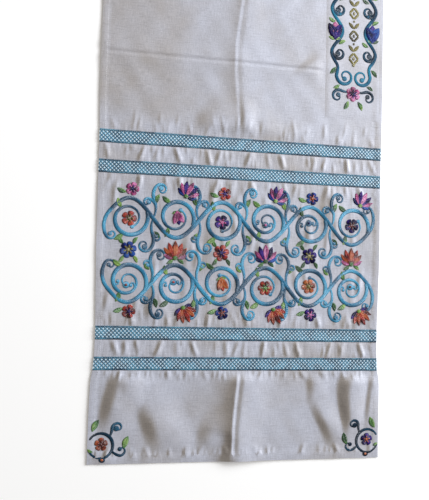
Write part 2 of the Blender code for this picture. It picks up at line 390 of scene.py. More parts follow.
    def edges_at(self, along: float) -> tuple[float, float]:
        """Where the left and the right edge lie at one distance."""
        return float(self.left(np.array(along))), float(self.right(np.array(along)))

    def all_rolls(self) -> list[Roll]:
        """The near end's rolls, and their likes at the far end where no neckband lies."""
        rolls = list(self.rolls)
        for roll in self.rolls:
            far = Roll(
                self.length - roll.high, -roll.high_across, self.length - roll.low, -roll.low_across,
                roll.rise * self.far_roll_share, roll.spread * roll.taper, 1 / roll.taper,
            )
            beside = max(far.low_across, far.high_across) + far.spread < self.neckband_inner
            middle = self.length / 2
            beyond = min(abs(roll.low - middle), abs(roll.high - middle)) > self.neckband_length / 2
            if beside or beyond:
                rolls.append(far)
        return rolls

    def fade_of(self, roll: Roll, end: float) -> float:
        """How soon a roll dies out at one of its ends: at once where a band holds the cloth."""
        near = min(end, self.length - end)
        held = any(abs(near - edge) < 0.004 for band in self.bands for edge in (band.low, band.high))
        return self.roll_held_fade if held else min(self.roll_fade, 0.75 * (roll.high - roll.low))

    def lift(self, across: Array, along: Array) -> Array:
        """Height of the cloth's underside over the floor.

        Args:
            across: the points' places across.
            along: their distances along.

        Returns:
            The height at each point.
        """
        near = self.near(along)
        in_end_panel = smooth((self.bands[3].low - near) / self.press_fade)
        in_centre = smooth((near - self.bands[0].high) / self.press_fade)
        strength = np.maximum(in_end_panel, self.press_centre_share * in_centre)
        offset = across - np.interp(near, self.press_along, self.press_across)
        narrow = np.interp(near, self.press_narrow_along, (self.press_narrow, 1.0))
        left = self.press_rise * np.exp(np.minimum(offset, 0.0) / (narrow * self.press_left_reach))
        right_fall = np.exp(-np.maximum(offset, 0.0) / self.press_right_reach)
        rest = (self.press_rise - self.press_drop) * right_fall
        right = rest + self.press_drop * tent(offset / self.press_drop_width)
        beside = (offset - self.press_beside_across) / self.press_beside_spread
        right += self.press_beside * hill(np.where(beside > 0, beside / self.press_beside_lee, beside))
        height = strength * np.where(offset < 0, left, right)
        reach = smooth((self.neckband_inner - across) / self.press_fade)
        height += reach * np.interp(near - self.cross_fold, self.cross_fold_offset, self.cross_fold_height)
        for roll in self.all_rolls():
            here = (along > roll.low) & (along < roll.high)
            share = (along - roll.low) / (roll.high - roll.low)
            crest = roll.low_across + (roll.high_across - roll.low_across) * share
            rise = roll.rise * smooth((along - roll.low) / self.fade_of(roll, roll.low))
            rise = rise * smooth((roll.high - along) / self.fade_of(roll, roll.high))
            width = roll.spread * (roll.taper + (1 - roll.taper) * share)
            crest = crest + self.roll_wander * width * np.sin(4.4 * share + 40 * roll.low_across)
            reach = np.where(across < crest, width, self.roll_lee * width)
            height += np.where(here, rise * hill((across - crest) / reach), 0.0)
        return height

    def pucker_height(self, across: Array, along: Array) -> Array:
        """What the main puckers add, as on the solid.

        Args:
            across: the points' places across.
            along: their distances along.

        Returns:
            The height at each point.
        """
        near = self.near(along)
        far = along > self.length / 2
        height = np.zeros_like(across)
        for pucker in self.puckers:
            share = (near - pucker.low) / (pucker.high - pucker.low)
            inside = (share > 0) & (share < 1)
            if not inside.any():
                continue
            where = np.clip(share, 0.0, 1.0)
            if pucker.held == "both":
                profile = np.sin(math.pi * where) ** 0.5
            else:
                where = 1 - where if pucker.held == "high" else where
                profile = np.sin(math.pi * where ** 0.6)
            left = self.left(along) + pucker.spread
            right = self.right(along) - pucker.spread
            for number in range(pucker.count):
                angle = pucker.turn + np.where(far, math.pi / 2, 0.0) + GOLDEN_TURN * number
                place = (number + 0.5 + self.pucker_unevenness * np.sin(angle)) / pucker.count
                crest = left + (right - left) * place
                crest = crest + self.pucker_drift * np.sin(2 * angle) * (share - 0.5)
                strength = 1 - self.pucker_unevenness * (1 - np.cos(angle))
                rise = self.pucker_gain * pucker.rise * profile * strength
                bump = rise * hill((across - crest) / pucker.spread)
                height = np.where(inside, np.maximum(height, bump), height)
        return height

    def wrinkle_height(self, across: Array, along: Array) -> Array:
        """What the fine wrinkles add at both ends.

        Args:
            across: the points' places across.
            along: their distances along.

        Returns:
            The height at each point.
        """
        draw = np.random.default_rng(self.seed)
        height = np.zeros_like(across)
        for zone in self.wrinkles:
            for far in (False, True):
                for _ in range(zone.count):
                    place = draw.uniform(-0.245, 0.245)
                    middle = draw.uniform(zone.low, zone.high)
                    length = zone.length * draw.uniform(0.6, 1.4)
                    width = zone.spread * draw.uniform(0.7, 1.4)
                    rise = zone.rise * draw.uniform(0.5, 1.1)
                    slant = draw.uniform(-zone.slant, zone.slant)
                    middle = self.length - middle if far else middle
                    close = np.abs(along - middle) < length
                    close &= np.abs(across - place) < width + length * abs(slant)
                    from_middle = along[close] - middle
                    offset = (across[close] - place - slant * from_middle) / width
                    height[close] += rise * hill(offset) * hill(from_middle / length)
        return height * self.off_bands(along)

    def off_bands(self, along: Array) -> Array:
        """1 on the plain cloth, falling to 0 on the lattice bands, which hold the cloth flat."""
        near = self.near(along)
        clear = np.ones_like(along)
        for band in self.bands:
            clear *= 1 - window(near, band.low - 0.002, band.high + 0.002, 0.002)
        return clear

    def waviness(self, across: Array, along: Array) -> Array:
        """The slight blotchy waviness of cloth that has been folded away."""
        lengthwise = np.sin(along * 43 + 1.5 * np.sin(across * 31))
        waves = np.sin(across * 67 + 1.7 * np.sin(along * 19.1)) * lengthwise
        waves += 0.7 * np.sin(across * 109 + 2.3 * np.sin(along * 27.7) + 1.9) * np.sin(along * 61 + 2.3)
        waves += 0.25 * np.sin(across * 150 + along * 95)
        return self.wave_depth * (waves + 1.5) * self.off_bands(along)

    def hem_height(self, across: Array, along: Array) -> Array:
        """What the turned hems add.

        Args:
            across: the points' places across.
            along: their distances along.

        Returns:
            The height at each point.
        """
        from_side = np.minimum(across - self.left(along), self.right(along) - across)
        from_end = self.near(along)
        in_side = smooth((self.side_hem + self.hem_slope - from_side) / self.hem_slope)
        in_end = smooth((self.end_hem + self.hem_slope - from_end) / self.hem_slope)
        groove = np.maximum(
            hill((from_side - self.side_hem + self.hem_slope) / self.hem_groove),
            hill((from_end - self.end_hem + self.hem_slope) / self.hem_groove),
        )
        return self.hem_step * np.maximum(in_side, in_end) - self.hem_groove_depth * groove

    def top(self, across: Array, along: Array) -> Array:
        """Height of the cloth's top over the floor.

        Args:
            across: the points' places across.
            along: their distances along.

        Returns:
            The height at each point.
        """
        height = self.lift(across, along) + self.wall
        height += self.hem_height(across, along)
        height += self.pucker_height(across, along)
        height += self.wrinkle_height(across, along)
        return height + self.waviness(across, along)

    def drape(self, piece: Object, rise: float = 0.0) -> None:
        """Lays a piece that was modelled flat at height 0 on the cloth.

        Args:
            piece: the flat piece.
            rise: how much higher than the cloth it lies.
        """
        points = points_of(piece)
        points[:, 2] += self.top(points[:, 0], points[:, 1] + self.length / 2) + rise
        put_points(piece, points)


GOLDEN_TURN = math.pi * (3 - math.sqrt(5))


class NodeSheet:
    """Lays shader nodes in a tree, so that a finish reads as a list of steps."""

    def __init__(self, tree: bpy.types.NodeTree) -> None:
        """Starts on an empty tree."""
        self.tree = tree
        self.tree.nodes.clear()

    def add(self, kind: str, *, out: int | str = 0, **inputs: object) -> bpy.types.NodeSocket:
        """Adds a node and returns one of its outputs.

        Args:
            kind: the node's type, without the "ShaderNode" that starts its name.
            out: the output to return.
            **inputs: values or sockets for its inputs by name, with _ for a space, or i0, i1 and so on
                for an input by number; a name in capitals sets the node's own property.

        Returns:
            The output socket.
        """
        return self.node(kind, **inputs).outputs[out]

    def node(self, kind: str, **inputs: object) -> bpy.types.Node:
        """Adds a node with its properties and inputs set.

        Args:
            kind: as for add.
            **inputs: as for add.

        Returns:
            The node.
        """
        node = self.tree.nodes.new(kind if kind.startswith("Node") else "ShaderNode" + kind)
        for name, value in inputs.items():
            if name.isupper():
                setattr(node, name.lower(), value)
        for name, value in inputs.items():
            if name.isupper():
                continue
            by_number = name[0] == "i" and name[1:].isdigit()
            socket = node.inputs[int(name[1:]) if by_number else name.replace("_", " ")]
            if isinstance(value, bpy.types.NodeSocket):
                self.tree.links.new(value, socket)
            else:
                socket.default_value = value
        return node

    def math(self, operation: str, *values: object) -> bpy.types.NodeSocket:
        """A Math node on these values or sockets."""
        return self.add("Math", OPERATION=operation, **{f"i{n}": v for n, v in enumerate(values)})

    def mix(self, share: object, first: object, second: object) -> bpy.types.NodeSocket:
        """A colour mix."""
        return self.add("Mix", out=2, DATA_TYPE="RGBA", i0=share, i6=first, i7=second)


def rgba(colour: Colour) -> tuple[float, float, float, float]:
    """The colour with full alpha."""
    return (*colour, 1.0)


def new_group(name: str, inputs: dict[str, object], outputs: dict[str, str]) -> bpy.types.NodeTree:
    """A shader node group with its sockets and no nodes yet.

    Args:
        name: the group's name.
        inputs: default value by input name; a colour or a vector by its length, a float otherwise.
        outputs: socket type by output name.

    Returns:
        The group's tree.
    """
    group = bpy.data.node_groups.new(name, "ShaderNodeTree")
    kinds = {4: "NodeSocketColor", 3: "NodeSocketVector"}
    for label, value in inputs.items():
        kind = kinds[len(value)] if isinstance(value, tuple) else "NodeSocketFloat"
        socket = group.interface.new_socket(label, in_out="INPUT", socket_type=kind)
        socket.default_value = value
    for label, kind in outputs.items():
        group.interface.new_socket(label, in_out="OUTPUT", socket_type=kind)
    return group


class SlubWeave:
    """The weave of slubbed silk: fine threads both ways, random thick ones across, and painted shade in its
    colour.
    """

    def __init__(self) -> None:
        """Builds the group once."""
        self.group = new_group(
            "Slub weave",
            {
                "Place": (0.0, 0.0, 0.0),
                "Cool": (0.5, 0.5, 0.5, 1.0),
                "Warm": (0.5, 0.5, 0.5, 1.0),
                "Slub": 1.0,
            },
            {"Color": "NodeSocketColor", "Height": "NodeSocketFloat", "Roughness": "NodeSocketFloat"},
        )
        sheet = NodeSheet(self.group)
        given = sheet.node("NodeGroupInput")
        place = given.outputs["Place"]
        weft = self.threads(sheet, place, (60.0, 1250.0, 1.0), 2.0)
        slubs = self.threads(sheet, place, (30.0, 430.0, 1.0), 3.0)
        warp = self.threads(sheet, place, (1000.0, 70.0, 1.0), 2.0)
        grain = sheet.add("TexNoise", Vector=place, Scale=430.0, Detail=2.0, Roughness=0.6)
        thick = sheet.add("MapRange", Value=slubs, From_Min=0.54, From_Max=0.72)
        thick = sheet.math("MULTIPLY", thick, given.outputs["Slub"])
        creases = self.threads(sheet, place, (120.0, 26.0, 1.0), 1.5)
        crush = sheet.add("Attribute", out="Fac", ATTRIBUTE_NAME="pucker")
        creases = sheet.math("MULTIPLY", creases, crush)
        patches = sheet.add("TexNoise", Vector=place, Scale=9.0, Detail=3.0, Roughness=0.6)
        patches = sheet.add("MapRange", Value=patches, From_Min=0.42, From_Max=0.70)
        # Painted shade: slopes that face away from the light, towards -X, take more of the darker warm
        # colour.
        slope = sheet.add("SeparateXYZ", Vector=sheet.add("NewGeometry", out="Normal"))
        painted_slope_shade = sheet.add("MapRange", Value=slope, From_Min=0.02, From_Max=-0.24)
        # Warm patches are random tone, made stronger in puckered zones as painted shade in the creases.
        tone_and_crease_shade_gain = sheet.math("MULTIPLY_ADD", crush, 0.40, 0.30)
        tone_and_painted_shade = sheet.math("MULTIPLY_ADD", patches, tone_and_crease_shade_gain, painted_slope_shade)
        # Painted shade: a darker warm tone that a vertex attribute puts on the left of the cloth's middle
        # part.
        tone_and_painted_shade = sheet.math("ADD", tone_and_painted_shade, sheet.add("Attribute", out="Fac", ATTRIBUTE_NAME="warm"))
        tone_and_painted_shade = sheet.add("Clamp", Value=tone_and_painted_shade)
        base = sheet.mix(tone_and_painted_shade, given.outputs["Cool"], given.outputs["Warm"])
        fine = sheet.math("ADD", weft, warp)
        coarse = sheet.math("MULTIPLY_ADD", grain, 0.9, fine)
        shade = sheet.add("MapRange", Value=coarse, From_Min=1.1, From_Max=1.8, To_Min=0.85, To_Max=1.14)
        shade = sheet.math("MULTIPLY_ADD", thick, -0.10, shade)
        grey = sheet.add("CombineColor", Red=shade, Green=shade, Blue=shade)
        colour = sheet.add("Mix", out=2, DATA_TYPE="RGBA", BLEND_TYPE="MULTIPLY", i0=1.0, i6=base, i7=grey)
        height = sheet.math("MULTIPLY_ADD", thick, 0.7, fine)
        height = sheet.math("MULTIPLY_ADD", creases, 6.5, height)
        rough = sheet.math("MULTIPLY_ADD", fine, 0.10, 0.36)
        sheet.node("NodeGroupOutput", Color=colour, Height=height, Roughness=rough)

    @staticmethod
    def threads(sheet: NodeSheet, place: object, scale: Colour, detail: float) -> bpy.types.NodeSocket:
        """Noise that is drawn out along the threads."""
        drawn = sheet.add("Mapping", Vector=place, Scale=scale)
        return sheet.add("TexNoise", Vector=drawn, Scale=1.0, Detail=detail, Roughness=0.55)


class SatinStitch:
    """Satin stitch: threads laid side by side across a stroke, in a thread whose colour changes."""

    def __init__(self) -> None:
        """Builds the group once."""
        self.group = new_group(
            "Satin stitch",
            {
                "Along and across": (0.0, 0.0, 0.0),
                "Place": (0.0, 0.0, 0.0),
                "Dark": (0.1, 0.1, 0.1, 1.0),
                "Main": (0.5, 0.5, 0.5, 1.0),
                "Light": (0.8, 0.8, 0.8, 1.0),
                "Stitches a metre": 1800.0,
                "Change": 22.0,
                "Edge": 0.5,
            },
            {"Color": "NodeSocketColor", "Height": "NodeSocketFloat"},
        )
        sheet = NodeSheet(self.group)
        given = sheet.node("NodeGroupInput").outputs
        split = sheet.node("SeparateXYZ", Vector=given["Along and across"])
        turns = sheet.math("MULTIPLY", split.outputs["X"], given["Stitches a metre"])
        lean = sheet.math("MULTIPLY_ADD", split.outputs["Y"], 1.5, turns)
        ridge = sheet.math("ABSOLUTE", sheet.math("SINE", sheet.math("MULTIPLY", lean, math.pi)))
        change = sheet.add("TexNoise", Vector=given["Place"], Scale=given["Change"], Detail=1.0)
        dark_share = sheet.add("MapRange", Value=change, From_Min=0.50, From_Max=0.60)
        light_share = sheet.add("MapRange", Value=change, From_Min=0.50, From_Max=0.36)
        body = sheet.mix(dark_share, given["Main"], given["Dark"])
        body = sheet.mix(light_share, body, given["Light"])
        # The edges darken: partly a dark outline, partly painted shade where the raised stroke turns down.
        from_middle = sheet.math("ABSOLUTE", sheet.math("SUBTRACT", split.outputs["Y"], 0.5))
        edge = sheet.add("MapRange", Value=from_middle, From_Min=0.30, From_Max=0.5)
        edge = sheet.math("MULTIPLY", edge, given["Edge"])
        body = sheet.mix(edge, body, given["Dark"])
        # Painted shade in the grooves between the stitches.
        groove = sheet.add("MapRange", Value=ridge, From_Min=0.0, From_Max=0.6, To_Min=0.45, To_Max=0.0)
        colour = sheet.mix(groove, body, given["Dark"])
        sheet.node("NodeGroupOutput", Color=colour, Height=ridge)


def new_material(name: str) -> tuple[bpy.types.Material, NodeSheet]:
    """A material, and the empty sheet for its nodes."""
    material = bpy.data.materials.new(name)
    material.use_nodes = True
    return material, NodeSheet(material.node_tree)


@dataclass(frozen=True)
class SilkFinish:
    """Slubbed silk in a cool colour, with random warm patches and painted shade in a darker warm colour."""

    name: str
    cool: Colour
    # The darker warm colour: random patches of it, and painted shade.
    warm: Colour
    slub: float = 1.0
    bump: float = 0.00014
    sheen: float = 0.25
    sheen_roughness: float = 0.35
    specular: float = 0.55

    def material(self, weave: SlubWeave) -> bpy.types.Material:
        """Makes the material, reading the piece's own place.

        Args:
            weave: the weave that it shares with the other silks.

        Returns:
            The material.
        """
        material, sheet = new_material(self.name)
        place = sheet.add("TexCoord", out="Object")
        colours = {"Cool": rgba(self.cool), "Warm": rgba(self.warm)}
        cloth = sheet.node("Group", NODE_TREE=weave.group, Place=place, Slub=self.slub, **colours).outputs
        shader = sheet.add(
            "BsdfPrincipled",
            Base_Color=cloth["Color"],
            Roughness=cloth["Roughness"],
            Normal=sheet.add("Bump", Height=cloth["Height"], Distance=self.bump, Strength=1.0),
            Sheen_Weight=self.sheen,
            Sheen_Roughness=self.sheen_roughness,
            Specular_IOR_Level=self.specular,
        )
        sheet.node("OutputMaterial", Surface=shader)
        return material


@dataclass(frozen=True)
class ThreadFinish:
    """An embroidery thread, its colour running from dark to light along the work."""

    name: str
    dark: Colour
    main: Colour
    light: Colour
    stitches: float = 1800.0
    change: float = 22.0
    # How dark the stroke's edges turn: partly a dark outline, partly painted shade.
    edge: float = 0.45
    roughness: float = 0.34
    metallic: float = 0.0
    bump: float = 0.00025
    sheen: float = 0.15
    specular: float = 0.5

    def material(self, stitch: SatinStitch) -> bpy.types.Material:
        """Makes the material, reading the piece's UV map for the stitches and its place for the colour.

        Args:
            stitch: the stitch that it shares with the other threads.

        Returns:
            The material.
        """
        material, sheet = new_material(self.name)
        given = sheet.node("TexCoord").outputs
        satin = sheet.node(
            "Group",
            NODE_TREE=stitch.group,
            Along_and_across=given["UV"],
            Place=given["Object"],
            Dark=rgba(self.dark),
            Main=rgba(self.main),
            Light=rgba(self.light),
            Stitches_a_metre=self.stitches,
            Change=self.change,
            Edge=self.edge,
        ).outputs
        shader = sheet.add(
            "BsdfPrincipled",
            Base_Color=satin["Color"],
            Normal=sheet.add("Bump", Height=satin["Height"], Distance=self.bump, Strength=0.8),
            Roughness=self.roughness,
            Metallic=self.metallic,
            Sheen_Weight=self.sheen,
            Specular_IOR_Level=self.specular,
        )
        sheet.node("OutputMaterial", Surface=shader)
        return material


class Thread(Enum):
    """The threads of the embroidery, each with its finish's name."""

    VINE = "vine_thread"
    DARK = "outline_thread"
    LEAF = "leaf_thread"
    RED = "red_thread"
    ORANGE = "orange_thread"
    PINK = "pink_thread"
    PURPLE = "purple_thread"
    BLUE = "blue_thread"
    GOLD = "gold_thread"


LEAF = {"change": 40.0, "edge": 0.7}
PETAL = {"change": 70.0, "edge": 0.8}
MATT = {"sheen": 0.0, "specular": 0.2}
THREAD_ROWS = (
    (Thread.VINE, (0.008, 0.060, 0.125), (0.016, 0.185, 0.345), (0.055, 0.345, 0.560), {"edge": 0.85}),
    (Thread.DARK, (0.004, 0.014, 0.030), (0.009, 0.042, 0.082), (0.026, 0.105, 0.185), {"edge": 0.8} | MATT),
    (Thread.LEAF, (0.018, 0.065, 0.020), (0.060, 0.190, 0.035), (0.230, 0.380, 0.080), LEAF),
    (Thread.RED, (0.080, 0.006, 0.006), (0.330, 0.018, 0.012), (0.460, 0.060, 0.028), PETAL),
    (Thread.ORANGE, (0.130, 0.018, 0.006), (0.370, 0.055, 0.013), (0.500, 0.140, 0.038), PETAL),
    (Thread.PINK, (0.180, 0.020, 0.100), (0.460, 0.065, 0.230), (0.560, 0.190, 0.400), PETAL),
    (Thread.PURPLE, (0.005, 0.003, 0.034), (0.015, 0.006, 0.112), (0.060, 0.028, 0.240), PETAL | MATT),
    (Thread.BLUE, (0.004, 0.008, 0.065), (0.009, 0.022, 0.185), (0.026, 0.090, 0.350), PETAL | MATT),
    (Thread.GOLD, (0.030, 0.022, 0.004), (0.110, 0.090, 0.014), (0.220, 0.190, 0.045), {"roughness": 0.3}),
)
THREAD_FINISHES = {
    thread: ThreadFinish(thread.value, *colours, **rest) for thread, *colours, rest in THREAD_ROWS
}


class Outline(Enum):
    """The outlines that an embroidered pad can have."""

    ROUND = "round"
    LEAF = "leaf"
    PETAL = "petal"


COOL_PETALS = (Thread.BLUE, Thread.PINK, Thread.PURPLE)
DUSK_PETALS = (Thread.PURPLE, Thread.RED, Thread.ORANGE)
WARM_PETALS = (Thread.PINK, Thread.ORANGE, Thread.RED)
MIDDLE_ROSETTES = ((Thread.BLUE, Thread.GOLD), (Thread.RED, Thread.PURPLE), (Thread.PURPLE, Thread.GOLD))


def direction(angle: float) -> Array:
    """The unit step at an angle in radians."""
    return np.array([math.cos(angle), math.sin(angle)])


def heading_at(path: Path, at: int) -> float:
    """Which way a line runs on from one of its points, in degrees from +X."""
    ahead = path[at + 1] - path[at]
    return math.degrees(math.atan2(ahead[1], ahead[0]))


def flow(
    *bends: tuple[float, float, float], start: Sequence[float] = (0.0, 0.0), heading: float = 90.0
) -> Path:
    """A line that bends smoothly, one bend running on into the next.

    Args:
        *bends: for each bend, how far it turns in degrees, positive to the left, and its radius at its
            start and at its end.
        start: where the line starts.
        heading: its first direction, in degrees from +X.

    Returns:
        Rows of points.
    """
    rows = [np.asarray(start, dtype=float)[None, :]]
    angle = math.radians(heading)
    for turning, wide, tight in bends:
        turning = math.radians(turning)
        middle = wide if abs(wide - tight) < 1e-7 else (wide - tight) / math.log(wide / tight)
        length = abs(turning) * middle
        steps = max(4, round(length / 0.0012))
        radius = wide + (tight - wide) * (np.arange(steps) + 0.5) / steps
        angles = angle + math.copysign(1.0, turning) * np.cumsum(length / steps / radius)
        hops = np.column_stack([np.cos(angles), np.sin(angles)]) * length / steps
        rows.append(rows[-1][-1] + np.cumsum(hops, axis=0))
        angle += turning
    return np.concatenate(rows)


def spiral(centre: Sequence[float], radius: float, start: float, turning: float, inner: float) -> Path:
    """A volute that winds inwards about its middle.

    Args:
        centre: its middle.
        radius: its radius at the start.
        start: the angle of its start, in degrees from +X.
        turning: how far it turns in degrees, negative for clockwise.
        inner: its radius at the end.

    Returns:
        Rows of points.
    """
    share = np.linspace(0.0, 1.0, max(12, round(0.1 * abs(turning))))
    reach = inner + (radius - inner) * (1 - share) ** 1.15
    angle = np.radians(start + turning * share)
    return np.column_stack([centre[0] + reach * np.cos(angle), centre[1] + reach * np.sin(angle)])


@dataclass(frozen=True)
class Spot:
    """A place in the work where a motif is set out, as drawn or flipped.

    Attributes:
        across: its place across.
        along: its place along.
        hand: 1, or -1 to flip the motif left for right.
        side: 1, or -1 to flip it end for end.
    """

    across: float
    along: float
    hand: int = 1
    side: int = 1

    def path(self, points: Iterable[Sequence[float]]) -> Path:
        """Points of the work from points of the motif."""
        return np.asarray(points, dtype=float) * (self.hand, self.side) + (self.across, self.along)

    def point(self, across: float, along: float) -> Array:
        """A point of the work from a point of the motif."""
        return self.path([(across, along)])[0]

    def angle(self, degrees: float) -> float:
        """A direction of the work, in radians, from a direction of the motif."""
        turn = math.radians(degrees)
        return math.atan2(self.side * math.sin(turn), self.hand * math.cos(turn))


@dataclass
class PadDome:
    """The crowned half dome that every embroidered pad is a copy of.

    Attributes:
        sides: how many sides it has round.
        rings: how many rings the whole sphere has.
    """

    sides: int = 16
    rings: int = 8
    piece: Object | None = None

    def build(self) -> "PadDome":
        """Makes the dome from a sphere cut in half."""
        sphere = {"segments": self.sides, "ring_count": self.rings, "radius": 1.0}
        self.piece = primitive(bpy.ops.mesh.primitive_uv_sphere_add, **sphere)
        cut(self.piece, (0, 0, 0), (0, 0, 1))
        return self

    def copy(self) -> Object:
        """A copy of the dome with its own mesh."""
        return new_object("pad", self.piece.data.copy())

    def remove(self) -> None:
        """Takes the dome away once the pads are made."""
        bpy.data.objects.remove(self.piece)


@dataclass
class Needle:
    """Embroiders one area: collects its strokes and pads, then makes one piece for each thread.

    Attributes:
        form: the cloth that the work lies on.
        dome: the half dome that its pads are copies of.
        area: the start of the pieces' names.
        turned: whether the work is turned half round, as at the far end.
        rise: how much higher than the cloth the work lies.
        crown: how high a stroke stands for each metre of its width.
        flatness: what share of its drawn height a pad stands.
        step: spacing of the points along a stroke.
    """

    form: ClothForm
    dome: PadDome
    area: str
    turned: bool = False
    rise: float = 0.0
    crown: float = 0.125
    flatness: float = 0.72
    step: float = 0.0026
    strokes: dict[Thread, list[tuple[Path, Array]]] = field(default_factory=dict)
    pads: dict[Thread, list[tuple[Array, Array]]] = field(default_factory=dict)

    PROFILE = ((-1.0, 0.0), (-0.85, 0.5), (-0.45, 0.88), (0.0, 1.0), (0.45, 0.88), (0.85, 0.5), (1.0, 0.0))

    def place(self, points: Array) -> Array:
        """Turns points of the work half round for the far end."""
        if not self.turned:
            return points
        return np.column_stack([-points[:, 0], self.form.length - points[:, 1]])

    def stroke(
        self, path: Path, width: float, thread: Thread = Thread.VINE, root: float = 0.75, tip: float = 0.5
    ) -> None:
        """Adds a satin-stitched stroke with round ends, widest a third of the way along.

        Args:
            path: rows of across and along.
            width: the stroke's greatest width.
            thread: the thread that it is worked in.
            root: its width at its start, as a share of the greatest.
            tip: its width at its far end, as a share of the greatest.
        """
        path = self.place(np.asarray(path, dtype=float))
        lengths = np.concatenate([[0.0], np.cumsum(np.linalg.norm(np.diff(path, axis=0), axis=1))])
        total = lengths[-1]
        half = min(width / 2, total / 3)
        near_end = np.array([0.0, 0.12, 0.4, 0.8]) * half
        inner = np.linspace(half, total - half, max(2, round((total - width) / self.step)))
        arc = np.concatenate([near_end, inner, total - near_end[::-1]])
        points = np.column_stack([np.interp(arc, lengths, path[:, n]) for n in (0, 1)])
        from_end = np.clip(np.minimum(arc, total - arc) / half, 0.0, 1.0)
        rounding = np.sqrt(1 - (1 - from_end) ** 2)
        share = arc / total
        rising = root + (1 - root) * smooth(share / 0.33)
        falling = 1 + (tip - 1) * smooth((share - 0.33) / 0.67)
        swell = np.where(share < 0.33, rising, falling)
        radius = width / 2 * rounding * swell
        self.strokes.setdefault(thread, []).append((points, np.column_stack([arc, radius])))

    def curl(
        self,
        path: Path,
        width: float,
        thread: Thread = Thread.VINE,
        ball: float = 1.15,
        root: float = 0.6,
        ball_thread: Thread | None = None,
    ) -> None:
        """Adds a stroke that ends in a round ball.

        Args:
            path: rows of across and along.
            width: the stroke's greatest width.
            thread: the thread that it is worked in.
            ball: the ball's size for each metre of the width.
            root: its width at its start, as a share of the greatest.
            ball_thread: the ball's thread, where it isn't the stroke's.
        """
        self.stroke(path, width, thread, root=root, tip=0.45)
        size = (ball * width, ball * width)
        self.pad(path[-1], 0.0, size, ball_thread or thread, crown=0.0013, lift=0.0001)

    def pad(
        self,
        centre: Sequence[float],
        turn: float,
        size: tuple[float, float],
        thread: Thread,
        outline: Outline = Outline.ROUND,
        crown: float = 0.0012,
        bend: float = 0.0,
        lift: float = 0.0,
    ) -> None:
        """Adds a crowned pad of satin stitch.

        Args:
            centre: across and along of a round pad's or leaf's middle, or of a petal's foot.
            turn: the angle of its length from +X, in radians.
            size: its length and width.
            thread: the thread that it is worked in.
            outline: its outline.
            crown: how high its middle stands.
            bend: how far a leaf's middle bows sideways.
            lift: how far it lies over the cloth, for a pad over others.
        """
        x, y, z = points_of(self.dome.piece).T
        length, width = size
        share = np.sqrt(np.maximum(1 - x * x, 1e-4))
        across = np.clip(y / share, -1, 1)
        if outline is Outline.LEAF:
            flat = np.column_stack([x * length / 2, y * share * width / 2 + bend * (1 - x * x)])
            z = z * (1 - 0.55 * np.exp(-((across / 0.16) ** 2)))
        elif outline is Outline.PETAL:
            reach = (x + 1) / 2
            flat = np.column_stack([reach * length, y * width / 2 * (0.40 + 0.60 * reach)])
        else:
            flat = np.column_stack([x * length / 2, y * width / 2])
        turned = flat @ np.array([[math.cos(turn), math.sin(turn)], [-math.sin(turn), math.cos(turn)]])
        turned = self.place(turned + np.asarray(centre, dtype=float))
        points = np.column_stack([turned, self.flatness * (z * crown + lift)])
        uv = np.column_stack([flat[:, 0], (across + 1) / 2])
        self.pads.setdefault(thread, []).append((points, uv))

    def leaf(self, root: Sequence[float], turn: float, length: float = 0.021, bend: float = 0.0014) -> None:
        """Adds a leaf that grows from its root, turned by an angle in radians."""
        middle = np.asarray(root) + 0.5 * length * direction(turn)
        self.pad(middle, turn, (length, 0.46 * length), Thread.LEAF, Outline.LEAF, crown=0.0014, bend=bend)

    def rosette(
        self,
        centre: Sequence[float],
        radius: float,
        petals: int,
        thread: Thread,
        eye: Thread,
        turn: float = 0.0,
    ) -> None:
        """Adds a rosette: outer petals, small inner ones, and an eye.

        Args:
            centre: its middle.
            radius: its outer radius.
            petals: how many petals it has.
            thread: the outer petals' thread.
            eye: the thread of its inner petals.
            turn: the first petal's angle, in radians.
        """
        centre = np.asarray(centre)
        for number in range(petals):
            angle = turn + 2 * math.pi * number / petals
            ray = direction(angle)
            outer, inner = centre + 0.20 * radius * ray, centre + 0.42 * radius * ray
            size = (0.80 * radius, 1.95 * radius * math.sin(math.pi / petals))
            self.pad(outer, angle, size, thread, Outline.PETAL, crown=0.0017, lift=0.0002)
            size = (0.42 * radius, 0.20 * radius)
            self.pad(inner, angle, size, eye, Outline.LEAF, crown=0.0007, lift=0.0016)
        size = (0.50 * radius, 0.50 * radius)
        self.pad(centre, 0.0, size, eye, crown=0.0013, lift=0.0009)

    def tulip(self, foot: Sequence[float], turn: float, length: float, thread: Thread, inner: Thread) -> None:
        """Adds a tulip: a middle petal between two side ones, on two small sepals.

        Args:
            foot: where it grows from.
            turn: which way it points, in radians.
            length: its length.
            thread: the side petals' thread.
            inner: the middle petal's thread.
        """
        foot = np.asarray(foot)
        for side in (-1, 1):
            self.leaf(foot, turn + side * 1.15, 0.40 * length, bend=0.0)
        middle = foot + 0.50 * length * direction(turn)
        self.pad(middle, turn, (length, 0.50 * length), inner, Outline.LEAF, crown=0.0014, lift=0.0003)
        for side in (-1, 1):
            angle = turn + side * 0.40
            middle = foot + 0.47 * length * direction(angle)
            size = (0.96 * length, 0.50 * length)
            self.pad(middle, angle, size, thread, Outline.LEAF, 0.0017, -side * 0.07 * length, 0.0006)

